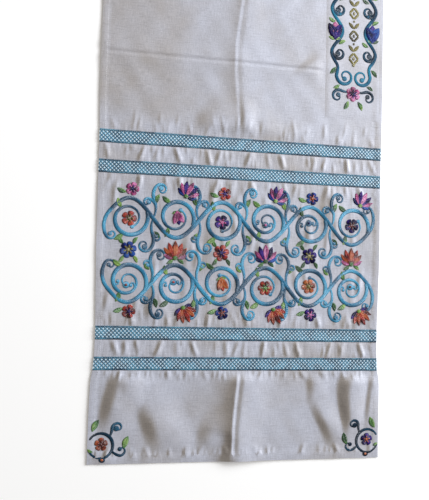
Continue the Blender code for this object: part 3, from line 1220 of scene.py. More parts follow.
    def lotus(self, foot: Sequence[float], turn: float, length: float, threads: Sequence[Thread]) -> None:
        """Adds a large open flower: a fan of seven petals in three threads.

        Args:
            foot: where it grows from.
            turn: which way it points, in radians.
            length: its middle petal's length.
            threads: the petals' threads, from the outside in.
        """
        foot = np.asarray(foot)
        fan = ((1.28, 0.74, 0.30, 0), (0.84, 0.90, 0.32, 1), (0.42, 0.97, 0.34, 2), (0.0, 1.0, 0.36, 1))
        for level, (lean, reach, width, kind) in enumerate(fan):
            for side in (-1, 1) if lean else (1,):
                angle = turn + side * lean
                size = (reach * length, width * length)
                middle = foot + 0.5 * size[0] * direction(angle)
                bend = side * 0.05 * length * bool(lean)
                self.pad(middle, angle, size, threads[kind], Outline.LEAF, 0.0016, bend, 0.0003 * level)
        self.pad(foot, turn, (0.26 * length, 0.30 * length), Thread.LEAF, crown=0.0018, lift=0.0010)

    def make_pads(self, name: str, pads: list[tuple[Array, Array]]) -> Object:
        """Makes copies of the dome, each shaped as its pad.

        Args:
            name: the joined piece's name.
            pads: each pad's points and its UV at each point.

        Returns:
            The pads as one piece, with a UV map in metres along and a share across.
        """
        joined = join([self.dome.copy() for _ in pads], name)
        points = np.concatenate([points for points, _ in pads])
        put_points(joined, points - (0.0, self.form.length / 2, 0.0))
        put_uv(joined, np.concatenate([uv for _, uv in pads]))
        return joined

    def make_strokes(self, name: str, strokes: list[tuple[Path, Array]]) -> Object:
        """Makes the strokes as a curve with a half-round bevel, turned into a mesh.

        Args:
            name: the piece's name.
            strokes: each stroke's points, with its arc lengths and half widths.

        Returns:
            The strokes as one piece, with a UV map in metres along and a share across.
        """
        profile = bpy.data.curves.new(name + "_profile", "CURVE")
        outline = profile.splines.new("POLY")
        outline.points.add(len(self.PROFILE) - 1)
        for point, (side, up) in zip(outline.points, self.PROFILE):
            point.co = (side, up * 2 * self.crown, 0.0, 1.0)
        outline.use_cyclic_u = True
        profile_object = new_object(name + "_profile", profile)
        curve = bpy.data.curves.new(name, "CURVE")
        curve.dimensions = "3D"
        curve.twist_mode = "Z_UP"
        curve.bevel_mode = "OBJECT"
        curve.bevel_object = profile_object
        for points, measures in strokes:
            spline = curve.splines.new("POLY")
            spline.points.add(len(points) - 1)
            rows = np.column_stack([points, np.zeros(len(points)), np.ones(len(points))])
            rows[:, 1] -= self.form.length / 2
            spline.points.foreach_set("co", rows.ravel())
            spline.points.foreach_set("radius", measures[:, 1])
        piece = new_object(name, curve)
        select_only(piece)
        bpy.ops.object.convert(target="MESH")
        sides = len(self.PROFILE)
        arc = np.concatenate([measures[:, 0] for _, measures in strokes])
        across = [(side + 1) / 2 for side, _ in self.PROFILE]
        put_uv(piece, np.column_stack([np.repeat(arc, sides), np.tile(across, len(arc))]))
        edit(piece, lambda: bpy.ops.mesh.remove_doubles(threshold=1e-6))
        bpy.data.objects.remove(profile_object)
        return piece

    def finish(self, materials: dict[Thread, bpy.types.Material]) -> list[Object]:
        """Makes one piece for each thread, lays it on the cloth and dresses it.

        Args:
            materials: the material of each thread.

        Returns:
            The finished pieces.
        """
        pieces = []
        for thread in Thread:
            parts = []
            if thread in self.strokes:
                parts.append(self.make_strokes("strokes", self.strokes[thread]))
            if thread in self.pads:
                parts.append(self.make_pads("pads", self.pads[thread]))
            if not parts:
                continue
            piece = join(parts, f"{self.area}_{thread.value}")
            self.form.drape(piece, rise=self.rise)
            dress(piece, materials[thread])
            pieces.append(piece)
        return pieces


def put_uv(piece: Object, uv: Array) -> None:
    """Gives the piece one UV map from a value at each vertex."""
    mesh = piece.data
    while mesh.uv_layers:
        mesh.uv_layers.remove(mesh.uv_layers[0])
    layer = mesh.uv_layers.new(name="UVMap")
    corners = np.empty(len(mesh.loops), dtype=np.int64)
    mesh.loops.foreach_get("vertex_index", corners)
    layer.data.foreach_set("uv", uv[corners].ravel())


def dress(piece: Object, material: bpy.types.Material) -> None:
    """Gives a piece its material and its body, with smooth shading.

    Args:
        piece: the piece.
        material: its material.
    """
    piece.data.materials.clear()
    piece.data.materials.append(material)
    select_only(piece)
    bpy.ops.object.shade_smooth_by_angle(angle=math.radians(60))
    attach(piece, "root")
    log.info("%s: %d faces", piece.name, len(piece.data.polygons))


@dataclass
class ScrollPanel:
    """The embroidered panel: two wavy stems in opposite phase, with a volute in each bay.

    Attributes:
        upper: how far along the upper stem's middle lies.
        lower: how far along the lower stem's middle lies.
        bays: how many bays there are across.
        bay: a bay's width.
        swing: how far a stem swings from its middle.
        stem_width: the width of the stems and volutes.
        curl_width: the width of the curls.
    """

    needle: Needle
    upper: float = 0.4130
    lower: float = 0.3010
    bays: int = 6
    bay: float = 0.0806
    swing: float = 0.0325
    stem_width: float = 0.0076
    curl_width: float = 0.0064

    FLOWERS = (
        (Thread.RED, Thread.GOLD), (Thread.ORANGE, Thread.LEAF), (Thread.PINK, Thread.PURPLE),
        (Thread.RED, Thread.ORANGE), (Thread.PURPLE, Thread.PINK), (Thread.ORANGE, Thread.RED),
        (Thread.PINK, Thread.BLUE), (Thread.RED, Thread.LEAF), (Thread.BLUE, Thread.PINK),
        (Thread.ORANGE, Thread.GOLD), (Thread.PURPLE, Thread.RED), (Thread.RED, Thread.PURPLE),
    )

    @property
    def line(self) -> float:
        """How far along the middle between the stems lies."""
        return (self.upper + self.lower) / 2

    def bay_middle(self, number: float) -> float:
        """Where a bay's middle lies across."""
        return (number - (self.bays - 1) / 2) * self.bay

    def stem(self, middle: float, phase: int) -> None:
        """Works one stem across the panel, ending in a curl at each side.

        Args:
            middle: how far along its middle lies.
            phase: 1 where it starts with a swing away from the near hem, or -1.
        """
        needle = self.needle
        reach = self.bays / 2 * self.bay - 0.004
        across = np.linspace(-reach, reach, 200)
        swing = phase * self.swing * np.cos(math.pi * (across - self.bay_middle(0)) / self.bay)
        path = np.column_stack([across, middle + swing])
        needle.stroke(path, self.stem_width, root=0.9, tip=0.9)
        for hand, end, before in ((1, path[-1], path[-2]), (-1, path[0], path[1])):
            rising = 1 if (end - before)[1] > 0 else -1
            spot = Spot(*before, hand, rising)
            heading = math.degrees(math.atan2(abs(end[1] - before[1]), abs(end[0] - before[0])))
            tail = flow((66, 0.0400, 0.0360), (330, 0.0102, 0.0032), heading=heading)
            needle.curl(spot.path(tail), self.curl_width, root=1.0)

    def volute(self, number: int, middle: float, phase: int, kind: int) -> None:
        """Works the volute of one bay, with its flower, side shoots and leaves.

        Args:
            number: the bay's number from the left.
            middle: how far along the stem's middle lies.
            phase: 1 where the stem passes beyond the bay, -1 where it passes on the near side.
            kind: the number of the volute, which picks its flower and its small differences.
        """
        needle = self.needle
        spot = Spot(self.bay_middle(number), middle - phase * 0.0025, 1, phase)
        wobble = math.sin(2.1 * kind)
        petals, eye = self.FLOWERS[kind % len(self.FLOWERS)]
        open_scroll = kind % 5 in (1, 3)
        inner, turning = (0.0062, -640) if open_scroll else (0.0150, -455 - 35 * math.sin(1.7 * kind))
        path = spiral((0.0, 0.0), 0.0330 * (1 + 0.03 * wobble), 26, turning, inner)
        needle.curl(spot.path(path), self.stem_width, root=0.95, ball=1.6 if open_scroll else 0.95)
        if open_scroll:
            for at, turn in ((20, -60), (33, -75)):
                self.shoot(spot, path, at, turn)
            needle.pad(spot.point(*path[-1]), 0.0, (0.0046, 0.0046), petals, crown=0.0016, lift=0.0012)
        elif kind % 3 == 2:
            needle.tulip(spot.point(0.0005, -0.0115), spot.angle(90 + 14 * wobble), 0.0250, petals, eye)
        else:
            needle.rosette(spot.point(0.0, 0.0), 0.0132, 5 + kind % 2, petals, eye, turn=0.6 * kind)
        for at, lean, size in ((13, 62, 0.0200), (25, 78, 0.0190)):
            heading = heading_at(path, at)
            root = path[at] + 0.002 * direction(math.radians(heading))
            needle.leaf(spot.point(*root), spot.angle(heading + lean), size, bend=0.0016)

    def shoot(self, spot: Spot, path: Path, at: int, turn: float) -> None:
        """Works a short hooked shoot that springs inwards from a volute.

        Args:
            spot: the volute's place.
            path: the volute's line as drawn.
            at: the point of the line that it springs from.
            turn: how far its first bend turns, in degrees.
        """
        bends = (turn, 0.0110, 0.0070), (-170, 0.0042, 0.0022)
        hook = flow(*bends, start=path[at], heading=heading_at(path, at))
        self.needle.curl(spot.path(hook), 0.0042, ball=1.5)

    def outer_work(self, number: int, middle: float, side: int) -> None:
        """Works the curls and flowers between the stem and the nearer band, where two bays meet.

        Args:
            number: the bay on their left.
            middle: how far along the stem's middle lies.
            side: 1 for the side away from the near hem, -1 for the side towards it.
        """
        needle = self.needle
        even = number % 2 == 0
        spot = Spot(self.bay_middle(number + 0.5), middle, 1 if even else -1, side)
        bends = (50, 0.034, 0.034), (-60, 0.026, 0.022), (-380, 0.0118, 0.0034)
        long = flow(*bends, start=(0.0015, 0.002), heading=64)
        needle.curl(spot.path(long), self.curl_width, ball=1.5)
        short = flow((60, 0.020, 0.014), (300, 0.0078, 0.0030), start=(0.0035, 0.0200), heading=100)
        needle.curl(spot.path(short), self.curl_width * 0.85, ball=1.5)
        needle.leaf(spot.point(0.0040, 0.0235), spot.angle(70), 0.0190)
        if not even:
            return
        kinds = (Thread.RED, Thread.PINK, Thread.ORANGE, Thread.PURPLE, Thread.BLUE)
        thread = kinds[(2 * number + (side > 0)) % len(kinds)]
        eye = kinds[(2 * number + 3 + (side > 0)) % len(kinds)]
        crest = Spot(self.bay_middle(number), middle, 1, side)
        needle.rosette(crest.point(0.004, 0.0480), 0.0118, 5, thread, eye, turn=0.3 * number)
        needle.leaf(crest.point(-0.0060, 0.0420), crest.angle(158), 0.0180)
        beyond = Spot(self.bay_middle(number + 1), middle, 1, side)
        threads = COOL_PETALS if side > 0 else DUSK_PETALS
        needle.lotus(beyond.point(0.016, 0.0400), beyond.angle(62), 0.0280, threads)

    def middle_motif(self, number: int) -> None:
        """Works the flower on the middle line of one bay, with leaves beside it.

        Args:
            number: the bay, from the left.
        """
        needle = self.needle
        even = number % 2 == 0
        left, right = (Spot(self.bay_middle(number), self.line, hand, 1 if even else -1) for hand in (-1, 1))
        if even:
            thread, eye = MIDDLE_ROSETTES[number // 2 % len(MIDDLE_ROSETTES)]
            needle.rosette(right.point(0.0, 0.0), 0.0146, 6, thread, eye, turn=0.26)
            for half in (left, right):
                needle.leaf(half.point(0.0080, 0.0095), half.angle(58), 0.0150)
                needle.leaf(half.point(0.0080, -0.0095), half.angle(-58), 0.0150)
            return
        threads = COOL_PETALS if number == 3 else WARM_PETALS
        needle.lotus(right.point(0.0, 0.0115), right.angle(-90), 0.0300, threads)
        for half in (left, right):
            needle.leaf(half.point(0.0030, 0.0130), half.angle(35), 0.0150)

    def middle_curls(self, number: float) -> None:
        """Works the pair of curls that grow from the stems where two bays meet.

        Args:
            number: the bay on their left, and a half.
        """
        needle = self.needle
        hand = 1 if round(number - 0.5) % 2 == 0 else -1
        half = (self.upper - self.lower) / 2
        for side in (-1, 1):
            spot = Spot(self.bay_middle(number), self.line, hand * side, side)
            bends = (44, 0.034, 0.034), (-62, 0.030, 0.020), (-385, 0.0130, 0.0036)
            down = flow(*bends, start=(0, half - 0.003), heading=-112)
            needle.curl(spot.path(down), self.curl_width, ball=1.5)
            bends = (55, 0.016, 0.012), (260, 0.0066, 0.0028)
            shoot = flow(*bends, start=(-0.0012, half - 0.0260), heading=-92)
            needle.curl(spot.path(shoot), self.curl_width * 0.8, ball=1.5)
            needle.leaf(spot.point(0.0030, half - 0.0230), spot.angle(-52), 0.0150)

    def build(self, materials: dict[Thread, bpy.types.Material]) -> list[Object]:
        """Works the whole panel.

        Args:
            materials: the material of each thread.

        Returns:
            The finished pieces.
        """
        for row, (middle, phase) in enumerate(((self.upper, 1), (self.lower, -1))):
            self.stem(middle, phase)
            for number in range(self.bays):
                here = phase if number % 2 == 0 else -phase
                self.volute(number, middle, here, 2 * number + row)
        for number in range(self.bays - 1):
            self.outer_work(number, self.upper, 1)
            self.outer_work(number, self.lower, -1)
            self.middle_curls(number + 0.5)
        for number in range(self.bays):
            self.middle_motif(number)
        return self.needle.finish(materials)


@dataclass
class CornerSpray:
    """The small sprays in an end's two corners."""

    needle: Needle
    stem_width: float = 0.0058
    tall_width: float = 0.0056
    low_width: float = 0.0052
    inset: float = 0.001

    def spray(self, corner: float, hand: int, petals: Thread, eye: Thread) -> None:
        """Works one spray.

        Args:
            corner: the corner's place across.
            hand: 1 where the cloth lies to the corner's right, -1 to its left.
            petals: the rosette's thread.
            eye: the thread of its inner petals.
        """
        needle = self.needle
        spot = Spot(corner, 0.0, hand, 1)
        ring = spiral((0.0205, 0.0300), 0.0208, 152, -318, 0.0200)
        needle.stroke(spot.path(ring), self.stem_width, Thread.DARK, root=0.6, tip=0.6)
        tall = flow((30, 0.030, 0.030), (-330, 0.0102, 0.0034), start=(0.0345, 0.0440), heading=58)
        needle.curl(spot.path(tall), self.tall_width, Thread.DARK, ball=1.7)
        low = flow((40, 0.022, 0.022), (255, 0.0100, 0.0034), start=(0.0385, 0.0230), heading=-58)
        needle.curl(spot.path(low), self.low_width, Thread.DARK, ball=1.4)
        bead = spot.point(0.0235, 0.0072)
        needle.pad(bead, 0.0, (0.0108, 0.0096), Thread.DARK, crown=0.0012)
        needle.pad(bead, 0.0, (0.0050, 0.0044), Thread.ORANGE, crown=0.0012, lift=0.0009)
        needle.rosette(spot.point(0.0215, 0.0325), 0.0112, 5, petals, eye, turn=0.3)
        needle.leaf(spot.point(0.0085, 0.0200), spot.angle(150), 0.0110)
        needle.leaf(spot.point(0.0060, 0.0530), spot.angle(62), 0.0230)
        needle.leaf(spot.point(0.0590, 0.0240), spot.angle(72), 0.0230)

    def build(self, materials: dict[Thread, bpy.types.Material]) -> list[Object]:
        """Works both corners."""
        left, right = self.needle.form.edges_at(0.0)
        self.spray(left + self.inset, 1, Thread.ORANGE, Thread.RED)
        self.spray(right - self.inset, -1, Thread.PURPLE, Thread.ORANGE)
        return self.needle.finish(materials)


@dataclass
class NeckbandWork:
    """The neckband's embroidery: a gold chain between two small scrolls, with a lyre at each end.

    Attributes:
        line: where the gold chain runs across.
        side: how far from the chain each scroll's middle lies.
        chain_start: where the chain starts along.
        scroll_start: where the scrolls start along.
        half_wave: length of one bay of a scroll.
        swing: how far a scroll's stem swings.
    """

    needle: Needle
    line: float = 0.2000
    side: float = 0.0325
    chain_start: float = 0.7240
    scroll_start: float = 0.7120
    half_wave: float = 0.0410
    swing: float = 0.0105

    def chain(self) -> None:
        """Works the gold chain of open lozenges and leaf pairs, which is no lettering."""
        needle = self.needle
        reach = self.needle.form.length / 2
        count = 2 * round((reach - self.chain_start) / 0.0205)
        pitch = 2 * (reach - self.chain_start) / count
        for number in range(count + 1):
            spot = Spot(self.line, self.chain_start + number * pitch)
            if number % 2 == 0:
                corners = [(0.0, -0.0105), (0.0090, 0.0), (0.0, 0.0105), (-0.0090, 0.0), (0.0, -0.0105)]
                for first, second in zip(corners, corners[1:]):
                    needle.stroke(spot.path([first, second]), 0.0048, Thread.GOLD, root=0.9, tip=0.9)
                needle.pad(spot.point(0.0, 0.0), 0.0, (0.0050, 0.0066), Thread.GOLD, crown=0.0014)
            else:
                for hand in (-1, 1):
                    turn = math.radians(90 - hand * 40)
                    foot = np.array([self.line, spot.along - 0.0080])
                    middle = foot + 0.0078 * direction(turn)
                    needle.pad(middle, turn, (0.0170, 0.0066), Thread.GOLD, Outline.LEAF, crown=0.0013)
                needle.pad(spot.point(0.0, 0.0062), 0.0, (0.0046, 0.0046), Thread.GOLD, crown=0.0013)

    def scroll(self, hand: int) -> None:
        """Works the scroll on one side of the chain.

        Args:
            hand: 1 for the right-hand side, -1 for the left.
        """
        needle = self.needle
        length = needle.form.length
        count = round((length - 2 * self.scroll_start) / self.half_wave)
        half_wave = (length - 2 * self.scroll_start) / count
        line = self.line + hand * self.side
        along = np.linspace(self.scroll_start, length - self.scroll_start, 30 * count)
        swing = hand * self.swing * np.sin(math.pi * (along - self.scroll_start) / half_wave)
        needle.stroke(np.column_stack([line + swing, along]), 0.0070, root=0.9, tip=0.9)
        flowers = (Thread.PURPLE, Thread.BLUE, Thread.PINK, Thread.PURPLE, Thread.ORANGE)
        for number in range(count):
            bulge = hand if number % 2 == 0 else -hand
            spot = Spot(line, self.scroll_start + (number + 1) * half_wave, bulge, 1)
            bay = Spot(line, self.scroll_start + (number + 0.5) * half_wave, bulge, 1)
            if number % 2 == 1:
                thread = flowers[(number // 2 + (hand > 0)) % len(flowers)]
                inner = Thread.PINK if thread is Thread.PURPLE else Thread.PURPLE
                needle.tulip(bay.point(-0.0040, -0.0175), math.pi / 2, 0.0350, thread, inner)
            else:
                curl = spiral((-0.0042, 0.0), 0.0142, 40, -430, 0.0034)
                needle.curl(bay.path(curl), 0.0068, Thread.DARK, ball=1.55)
            bends = (-70, 0.0120, 0.0090), (-170, 0.0048, 0.0026)
            sprig = flow(*bends, start=(-0.0010, 0.0020), heading=128)
            needle.curl(spot.path(sprig), 0.0046, ball=1.4)
            needle.leaf(spot.point(-0.0030, -0.0050), spot.angle(148), 0.0160)

    def lyre(self, mirror: bool) -> None:
        """Works the pair of volutes, the rosette and the curls at one end.

        Args:
            mirror: whether this is the far end.
        """
        needle = self.needle
        start = needle.form.length - self.scroll_start if mirror else self.scroll_start
        for hand in (-1, 1):
            spot = Spot(self.line, start, hand, -1 if mirror else 1)
            straight = [
                (self.side + 0.0036, 0.0046), (self.side + 0.0002, 0.0004), (self.side - 0.0018, -0.0040),
                (self.side - 0.0021, -0.0090), (self.side - 0.0009, -0.0150),
            ]
            big = spiral((0.0156, -0.0220), 0.0175, 6, -440, 0.0050)
            needle.curl(spot.path(np.concatenate([straight, big])), 0.0068, ball=1.35, root=0.88)
            low = flow((34, 0.030, 0.030), (-360, 0.0138, 0.0038), start=(0.0060, -0.0500), heading=-14)
            needle.curl(spot.path(low), 0.0060, Thread.DARK, ball=1.5)
            needle.leaf(spot.point(self.side + 0.0020, -0.0060), spot.angle(-50), 0.0180)
            needle.leaf(spot.point(0.0090, -0.0670), spot.angle(-62), 0.0190)
            needle.leaf(spot.point(0.0260, -0.0380), spot.angle(-30), 0.0150)
        spot = Spot(self.line, start, 1, -1 if mirror else 1)
        needle.rosette(spot.point(0.0, -0.0540), 0.0140, 6, Thread.PINK, Thread.PURPLE, turn=0.52)
        needle.pad(spot.point(0.0, 0.0010), 0.0, (0.0060, 0.0085), Thread.GOLD, crown=0.0014)

    def build(self, materials: dict[Thread, bpy.types.Material]) -> list[Object]:
        """Works the neckband from end to end.

        Args:
            materials: the material of each thread.

        Returns:
            The finished pieces.
        """
        self.chain()
        for hand in (-1, 1):
            self.scroll(hand)
        for mirror in (False, True):
            self.lyre(mirror)
        return self.needle.finish(materials)


def grid_sheet(name: str, across: Array, along: Array, form: ClothForm) -> Object:
    """A flat sheet of even faces, mapped to places on the cloth.

    Args:
        name: the sheet's name.
        across: shares of the way from the left edge to the right one, from 0 to 1.
        along: distances from the near end's hem.
        form: the cloth, for its edges.

    Returns:
        The flat sheet at height 0.
    """
    squares = {"x_subdivisions": len(across) - 1, "y_subdivisions": len(along) - 1}
    sheet = primitive(bpy.ops.mesh.primitive_grid_add, size=2.0, **squares)
    sheet.name = name
    sheet.data.name = name
    points = points_of(sheet)
    column = (points[:, 0] + 1) / 2 * (len(across) - 1)
    row = (points[:, 1] + 1) / 2 * (len(along) - 1)
    place = np.interp(row, np.arange(len(along)), along)
    share = np.interp(column, np.arange(len(across)), across)
    left, right = form.left(place), form.right(place)
    put_points(sheet, np.column_stack([left + (right - left) * share, place - form.length / 2, 0 * place]))
    return sheet


def thicken(piece: Object, wall: float) -> None:
    """Turns an open sheet into a wall below its surface."""
    solidify = piece.modifiers.new("wall", "SOLIDIFY")
    solidify.thickness = wall
    solidify.offset = -1.0
    apply_modifiers(piece)


@dataclass
class GroundCloth:
    """The ground cloth: a fine top and a plain underside, closed at the edges."""

    form: ClothForm
    columns: int = 50
    fine: int = 4
    plain_step: float = 0.0200
    stitched_step: float = 0.0150
    centre_step: float = 0.0400
    fold_step: float = 0.01
    fold_reach: float = 0.02
    plain_crush: float = 0.10
    hem_crush: float = 0.5
    hem_crush_reach: float = 0.030
    seam_crush_reach: float = 0.012
    panel_crush: float = 0.25
    # How strongly shade is painted left of the press fold and towards the left edge.
    painted_shade_left: float = 0.06
    painted_shade_far_left: float = 0.40

    def stations(self) -> Array:
        """The coarse rows' distances, closer where the stitching puckers the cloth."""
        form = self.form
        half = form.length / 2
        marks = [0.0, form.end_hem]
        marks += [edge for band in reversed(form.bands) for edge in (band.low, band.high)]
        marks += [form.cross_fold - self.fold_reach, form.cross_fold + self.fold_reach, half]
        pair = [self.stitched_step] * 3
        steps = [form.end_hem, self.plain_step * 0.75, *pair, self.plain_step, *pair]
        steps += [self.plain_step, self.fold_step, self.centre_step]
        near = np.concatenate([spread(*stretch) for stretch in zip(marks, marks[1:], steps)])
        return np.concatenate([near, [half], form.length - near[::-1]])

    def mark_creases_and_painted_shade(self, cloth: Object, along: Array) -> None:
        """Marks how creased the cloth is, most of all at the stitching, and where shade is painted in the
        warm tone.

        Args:
            cloth: the finished cloth.
            along: the distance along of each of its vertices.
        """
        near = self.form.near(along)
        crush = self.plain_crush + self.hem_crush * hill(near / self.hem_crush_reach)
        for band in self.form.bands:
            from_seam = (np.abs(near - edge) for edge in (band.low, band.high))
            crush += sum(np.exp(-distance / self.seam_crush_reach) for distance in from_seam)
        in_panel = window(near, self.form.bands[2].high, self.form.bands[1].low, 0.02)
        # The pucker values raise the creases' bump, and strengthen the warm patches there as painted shade.
        put_values(cloth, "pucker", np.clip(crush + self.panel_crush * in_panel, 0.0, 1.0))
        across = points_of(cloth)[:, 0]
        press = np.interp(near, self.form.press_along, self.form.press_across)
        beyond = smooth((near - self.form.bands[0].high) / 0.05)
        # Painted shade: a darker warm tone left of the press fold and more towards the left edge, in the
        # middle part between the innermost bands.
        warm = self.painted_shade_left * beyond * smooth((press - across) / 0.03 + 0.5)
        warm = warm + self.painted_shade_far_left * beyond * smooth((-0.06 - across) / 0.12)
        put_values(cloth, "warm", warm)

    def build(self, material: bpy.types.Material) -> Object:
        """Makes the cloth and hides its solid.

        Args:
            material: its silk.

        Returns:
            The cloth.
        """
        form = self.form
        cloth = grid_sheet("ground_cloth", np.linspace(0.0, 1.0, self.columns + 1), self.stations(), form)
        thicken(cloth, form.wall)
        select_only(cloth)
        bpy.ops.object.mode_set(mode="EDIT")
        mesh = bmesh.from_edit_mesh(cloth.data)
        for face in mesh.faces:
            face.select_set(face.normal.z > 0.5)
        mesh.select_flush(True)
        bmesh.update_edit_mesh(cloth.data)
        bpy.ops.mesh.subdivide(number_cuts=self.fine - 1)
        bpy.ops.object.mode_set(mode="OBJECT")
        points = points_of(cloth)
        across, along = points[:, 0], points[:, 1] + form.length / 2
        on_top = points[:, 2] > -form.wall / 2
        points[:, 2] = np.where(on_top, form.top(across, along), form.lift(across, along))
        put_points(cloth, points)
        self.mark_creases_and_painted_shade(cloth, along)
        dress(cloth, material)
        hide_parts("body_cloth")
        return cloth


@dataclass
class LatticeBand:
    """A lattice band: a pale ground, threads crossing in diamonds, and two satin cord borders."""

    form: ClothForm
    band: Band
    far: bool
    ground_wall: float = 0.0004
    thread_width: float = 0.0017
    thread_rise: float = 0.0006
    pitch_across: float = 0.0066
    pitch_along: float = 0.0066
    sections: int = 6
    border: float = 0.0029
    inset: float = 0.0006
    columns: int = 104
    rows: int = 6
    lower_rise: float = 0.00060
    upper_rise: float = 0.00085

    @property
    def name(self) -> str:
        """The solid's name."""
        return ("far_" if self.far else "near_") + self.band.name

    def along(self, distance: float) -> float:
        """A distance from the nearer hem, measured from the near one."""
        return self.form.length - distance if self.far else distance

    def ground(self, material: bpy.types.Material) -> Object:
        """Makes the ground sheet.

        Args:
            material: its silk.

        Returns:
            The sheet.
        """
        edges = (self.band.low + self.inset, self.band.high - self.inset)
        rows = np.linspace(*sorted(map(self.along, edges)), self.rows)
        sheet = grid_sheet(self.name + "_ground", np.linspace(0.0, 1.0, self.columns), rows, self.form)
        thicken(sheet, self.ground_wall)
        self.form.drape(sheet, rise=self.ground_wall + 0.0001)
        dress(sheet, material)
        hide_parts(self.name)
        return sheet

    def lattice(self, material: bpy.types.Material) -> Object:
        """Makes the crossing threads from one thread, arrayed and mirrored.

        Args:
            material: the threads' finish.

        Returns:
            The lattice as one piece.
        """
        tall = self.band.high - self.band.low - 2 * self.border + 0.0012
        wide = tall * self.pitch_across / self.pitch_along
        edges = np.array([self.band.low, self.band.high])
        left = float(self.form.left(edges).max())
        right = float(self.form.right(edges).min())
        count = math.ceil((right - left + wide) / self.pitch_across) + 1
        middle = self.along((self.band.low + self.band.high) / 2)
        half = math.hypot(tall, wide) / 2
        lying = {"vertices": 6, "radius": 1.0, "depth": 2 * half, "rotation": (0.0, math.pi / 2, 0.0)}
        runs = []
        for lean, rise in ((-1, self.lower_rise), (1, self.upper_rise)):
            thread = primitive(bpy.ops.mesh.primitive_cylinder_add, **lying)
            settle(thread)
            thread.scale = (1.0, self.thread_width / 2, self.thread_rise)
            settle(thread)
            for number in range(1, self.sections):
                place = half * (2 * number / self.sections - 1)
                cut(thread, (place, 0, 0), (1, 0, 0), keep_half=False)
            thread.rotation_euler = (0.0, 0.0, math.atan2(tall, lean * wide))
            settle(thread)
            repeat(thread, self.pitch_across, count)
            thread.location = (left - wide / 2, middle - 1.0, rise)
            settle(thread)
            runs.append(thread)
        lattice = join(runs, self.name + "_lattice")
        cut(lattice, (left + 0.0003, 0, 0), (1, 0, 0))
        cut(lattice, (right - 0.0003, 0, 0), (-1, 0, 0))
        self.form.drape(lattice)
        dress(lattice, material)
        return lattice

    def borders(self, material: bpy.types.Material) -> Object:
        """Makes the two satin cords along the band's edges.

        Args:
            material: the cords' finish.

        Returns:
            The cords as one piece.
        """
        needle = Needle(self.form, PadDome(), self.name, crown=0.20, step=0.0050)
        for distance in (self.band.low + self.border / 2, self.band.high - self.border / 2):
            along = self.along(distance)
            ends = [(across, along) for across in self.form.edges_at(along)]
            needle.stroke(np.array(ends), self.border, root=1.0, tip=1.0)
        cords = needle.make_strokes(self.name + "_borders", needle.strokes[Thread.VINE])
        self.form.drape(cords, rise=0.0003)
        dress(cords, material)
        return cords

    def build(self, materials: dict[str, bpy.types.Material]) -> list[Object]:
        """Makes the band's three pieces."""
        ground = self.ground(materials["ground"])
        return [ground, self.lattice(materials["lattice"]), self.borders(materials["border"])]


@dataclass
class NeckbandStrip:
    """The neckband's strip of silk, its rim pressed down into the cloth."""

    form: ClothForm
    wall: float = 0.0003
    rim: float = 0.0040
    rim_sink: float = 0.0004
    row_step: float = 0.0080
    columns: int = 22

    def build(self, silk: bpy.types.Material) -> Object:
        """Makes the strip and hides its solid.

        Args:
            silk: its material.

        Returns:
            The strip.
        """
        form = self.form
        low = (form.length - form.neckband_length) / 2
        rows = np.linspace(low, form.length - low, round(form.neckband_length / self.row_step))
        shares = np.linspace(0.0, 1.0, self.columns)
        strip = grid_sheet("neckband_strip", shares, rows, form)
        points = points_of(strip)
        left, right = form.left(points[:, 1] + 1.0), form.right(points[:, 1] + 1.0)
        share = (points[:, 0] - left) / (right - left)
        points[:, 0] = form.neckband_inner + (form.neckband_outer - form.neckband_inner) * share
        put_points(strip, points)
        thicken(strip, self.wall)
        form.drape(strip, rise=self.wall + 0.0001)
        points = points_of(strip)
        from_side = np.minimum(points[:, 0] - form.neckband_inner, form.neckband_outer - points[:, 0])
        from_end = form.neckband_length / 2 - np.abs(points[:, 1])
        points[:, 2] -= self.rim_sink * (1 - smooth(np.minimum(from_side, from_end) / self.rim))
        put_points(strip, points)
        dress(strip, silk)
        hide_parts("neckband")
        return strip


@dataclass
class HemStitches:
    """The machine stitches along the hems, each a small crowned bead of thread."""

    form: ClothForm
    pitch: float = 0.0036
    length: float = 0.0026
    width: float = 0.0007
    rise: float = 0.0004
    inset: float = 0.0015

    def run(self, length: float) -> Object:
        """Makes a straight run of stitches along +X from the origin."""
        run = primitive(bpy.ops.mesh.primitive_uv_sphere_add, segments=6, ring_count=4, radius=0.5)
        run.scale = (self.length, self.width, self.rise)
        settle(run)
        repeat(run, self.pitch, int(length / self.pitch))
        return run

    def side(self, edge: Callable[[Array], Array], inwards: float) -> Object:
        """A run along one side edge."""
        run = self.run(self.form.length - 2 * self.pitch)
        points = points_of(run)
        along = points[:, 0] + self.pitch
        points[:, 0], points[:, 1] = edge(along) + inwards + points[:, 1], along - self.form.length / 2
        put_points(run, points)
        edit(run, lambda: bpy.ops.mesh.normals_make_consistent(inside=False))
        return run

    def end(self, along: float) -> Object:
        """A run along one end hem."""
        left, right = self.form.edges_at(along)
        run = self.run(right - left - 2 * self.pitch)
        points = points_of(run)
        points[:, 0] += left + self.pitch
        points[:, 1] += along - self.form.length / 2
        put_points(run, points)
        return run

    def build(self, material: bpy.types.Material) -> Object:
        """Makes all the hems' stitches as one piece.

        Args:
            material: the stitches' finish.

        Returns:
            The piece.
        """
        form = self.form
        inside = form.side_hem - self.inset
        runs = [
            self.side(form.left, inside),
            self.side(form.right, -inside),
            self.end(form.end_hem - self.inset),
            self.end(form.length - form.end_hem + self.inset),
        ]
        stitches = join(runs, "hem_stitches")
        form.drape(stitches, rise=0.0001)
        dress(stitches, material)
        return stitches


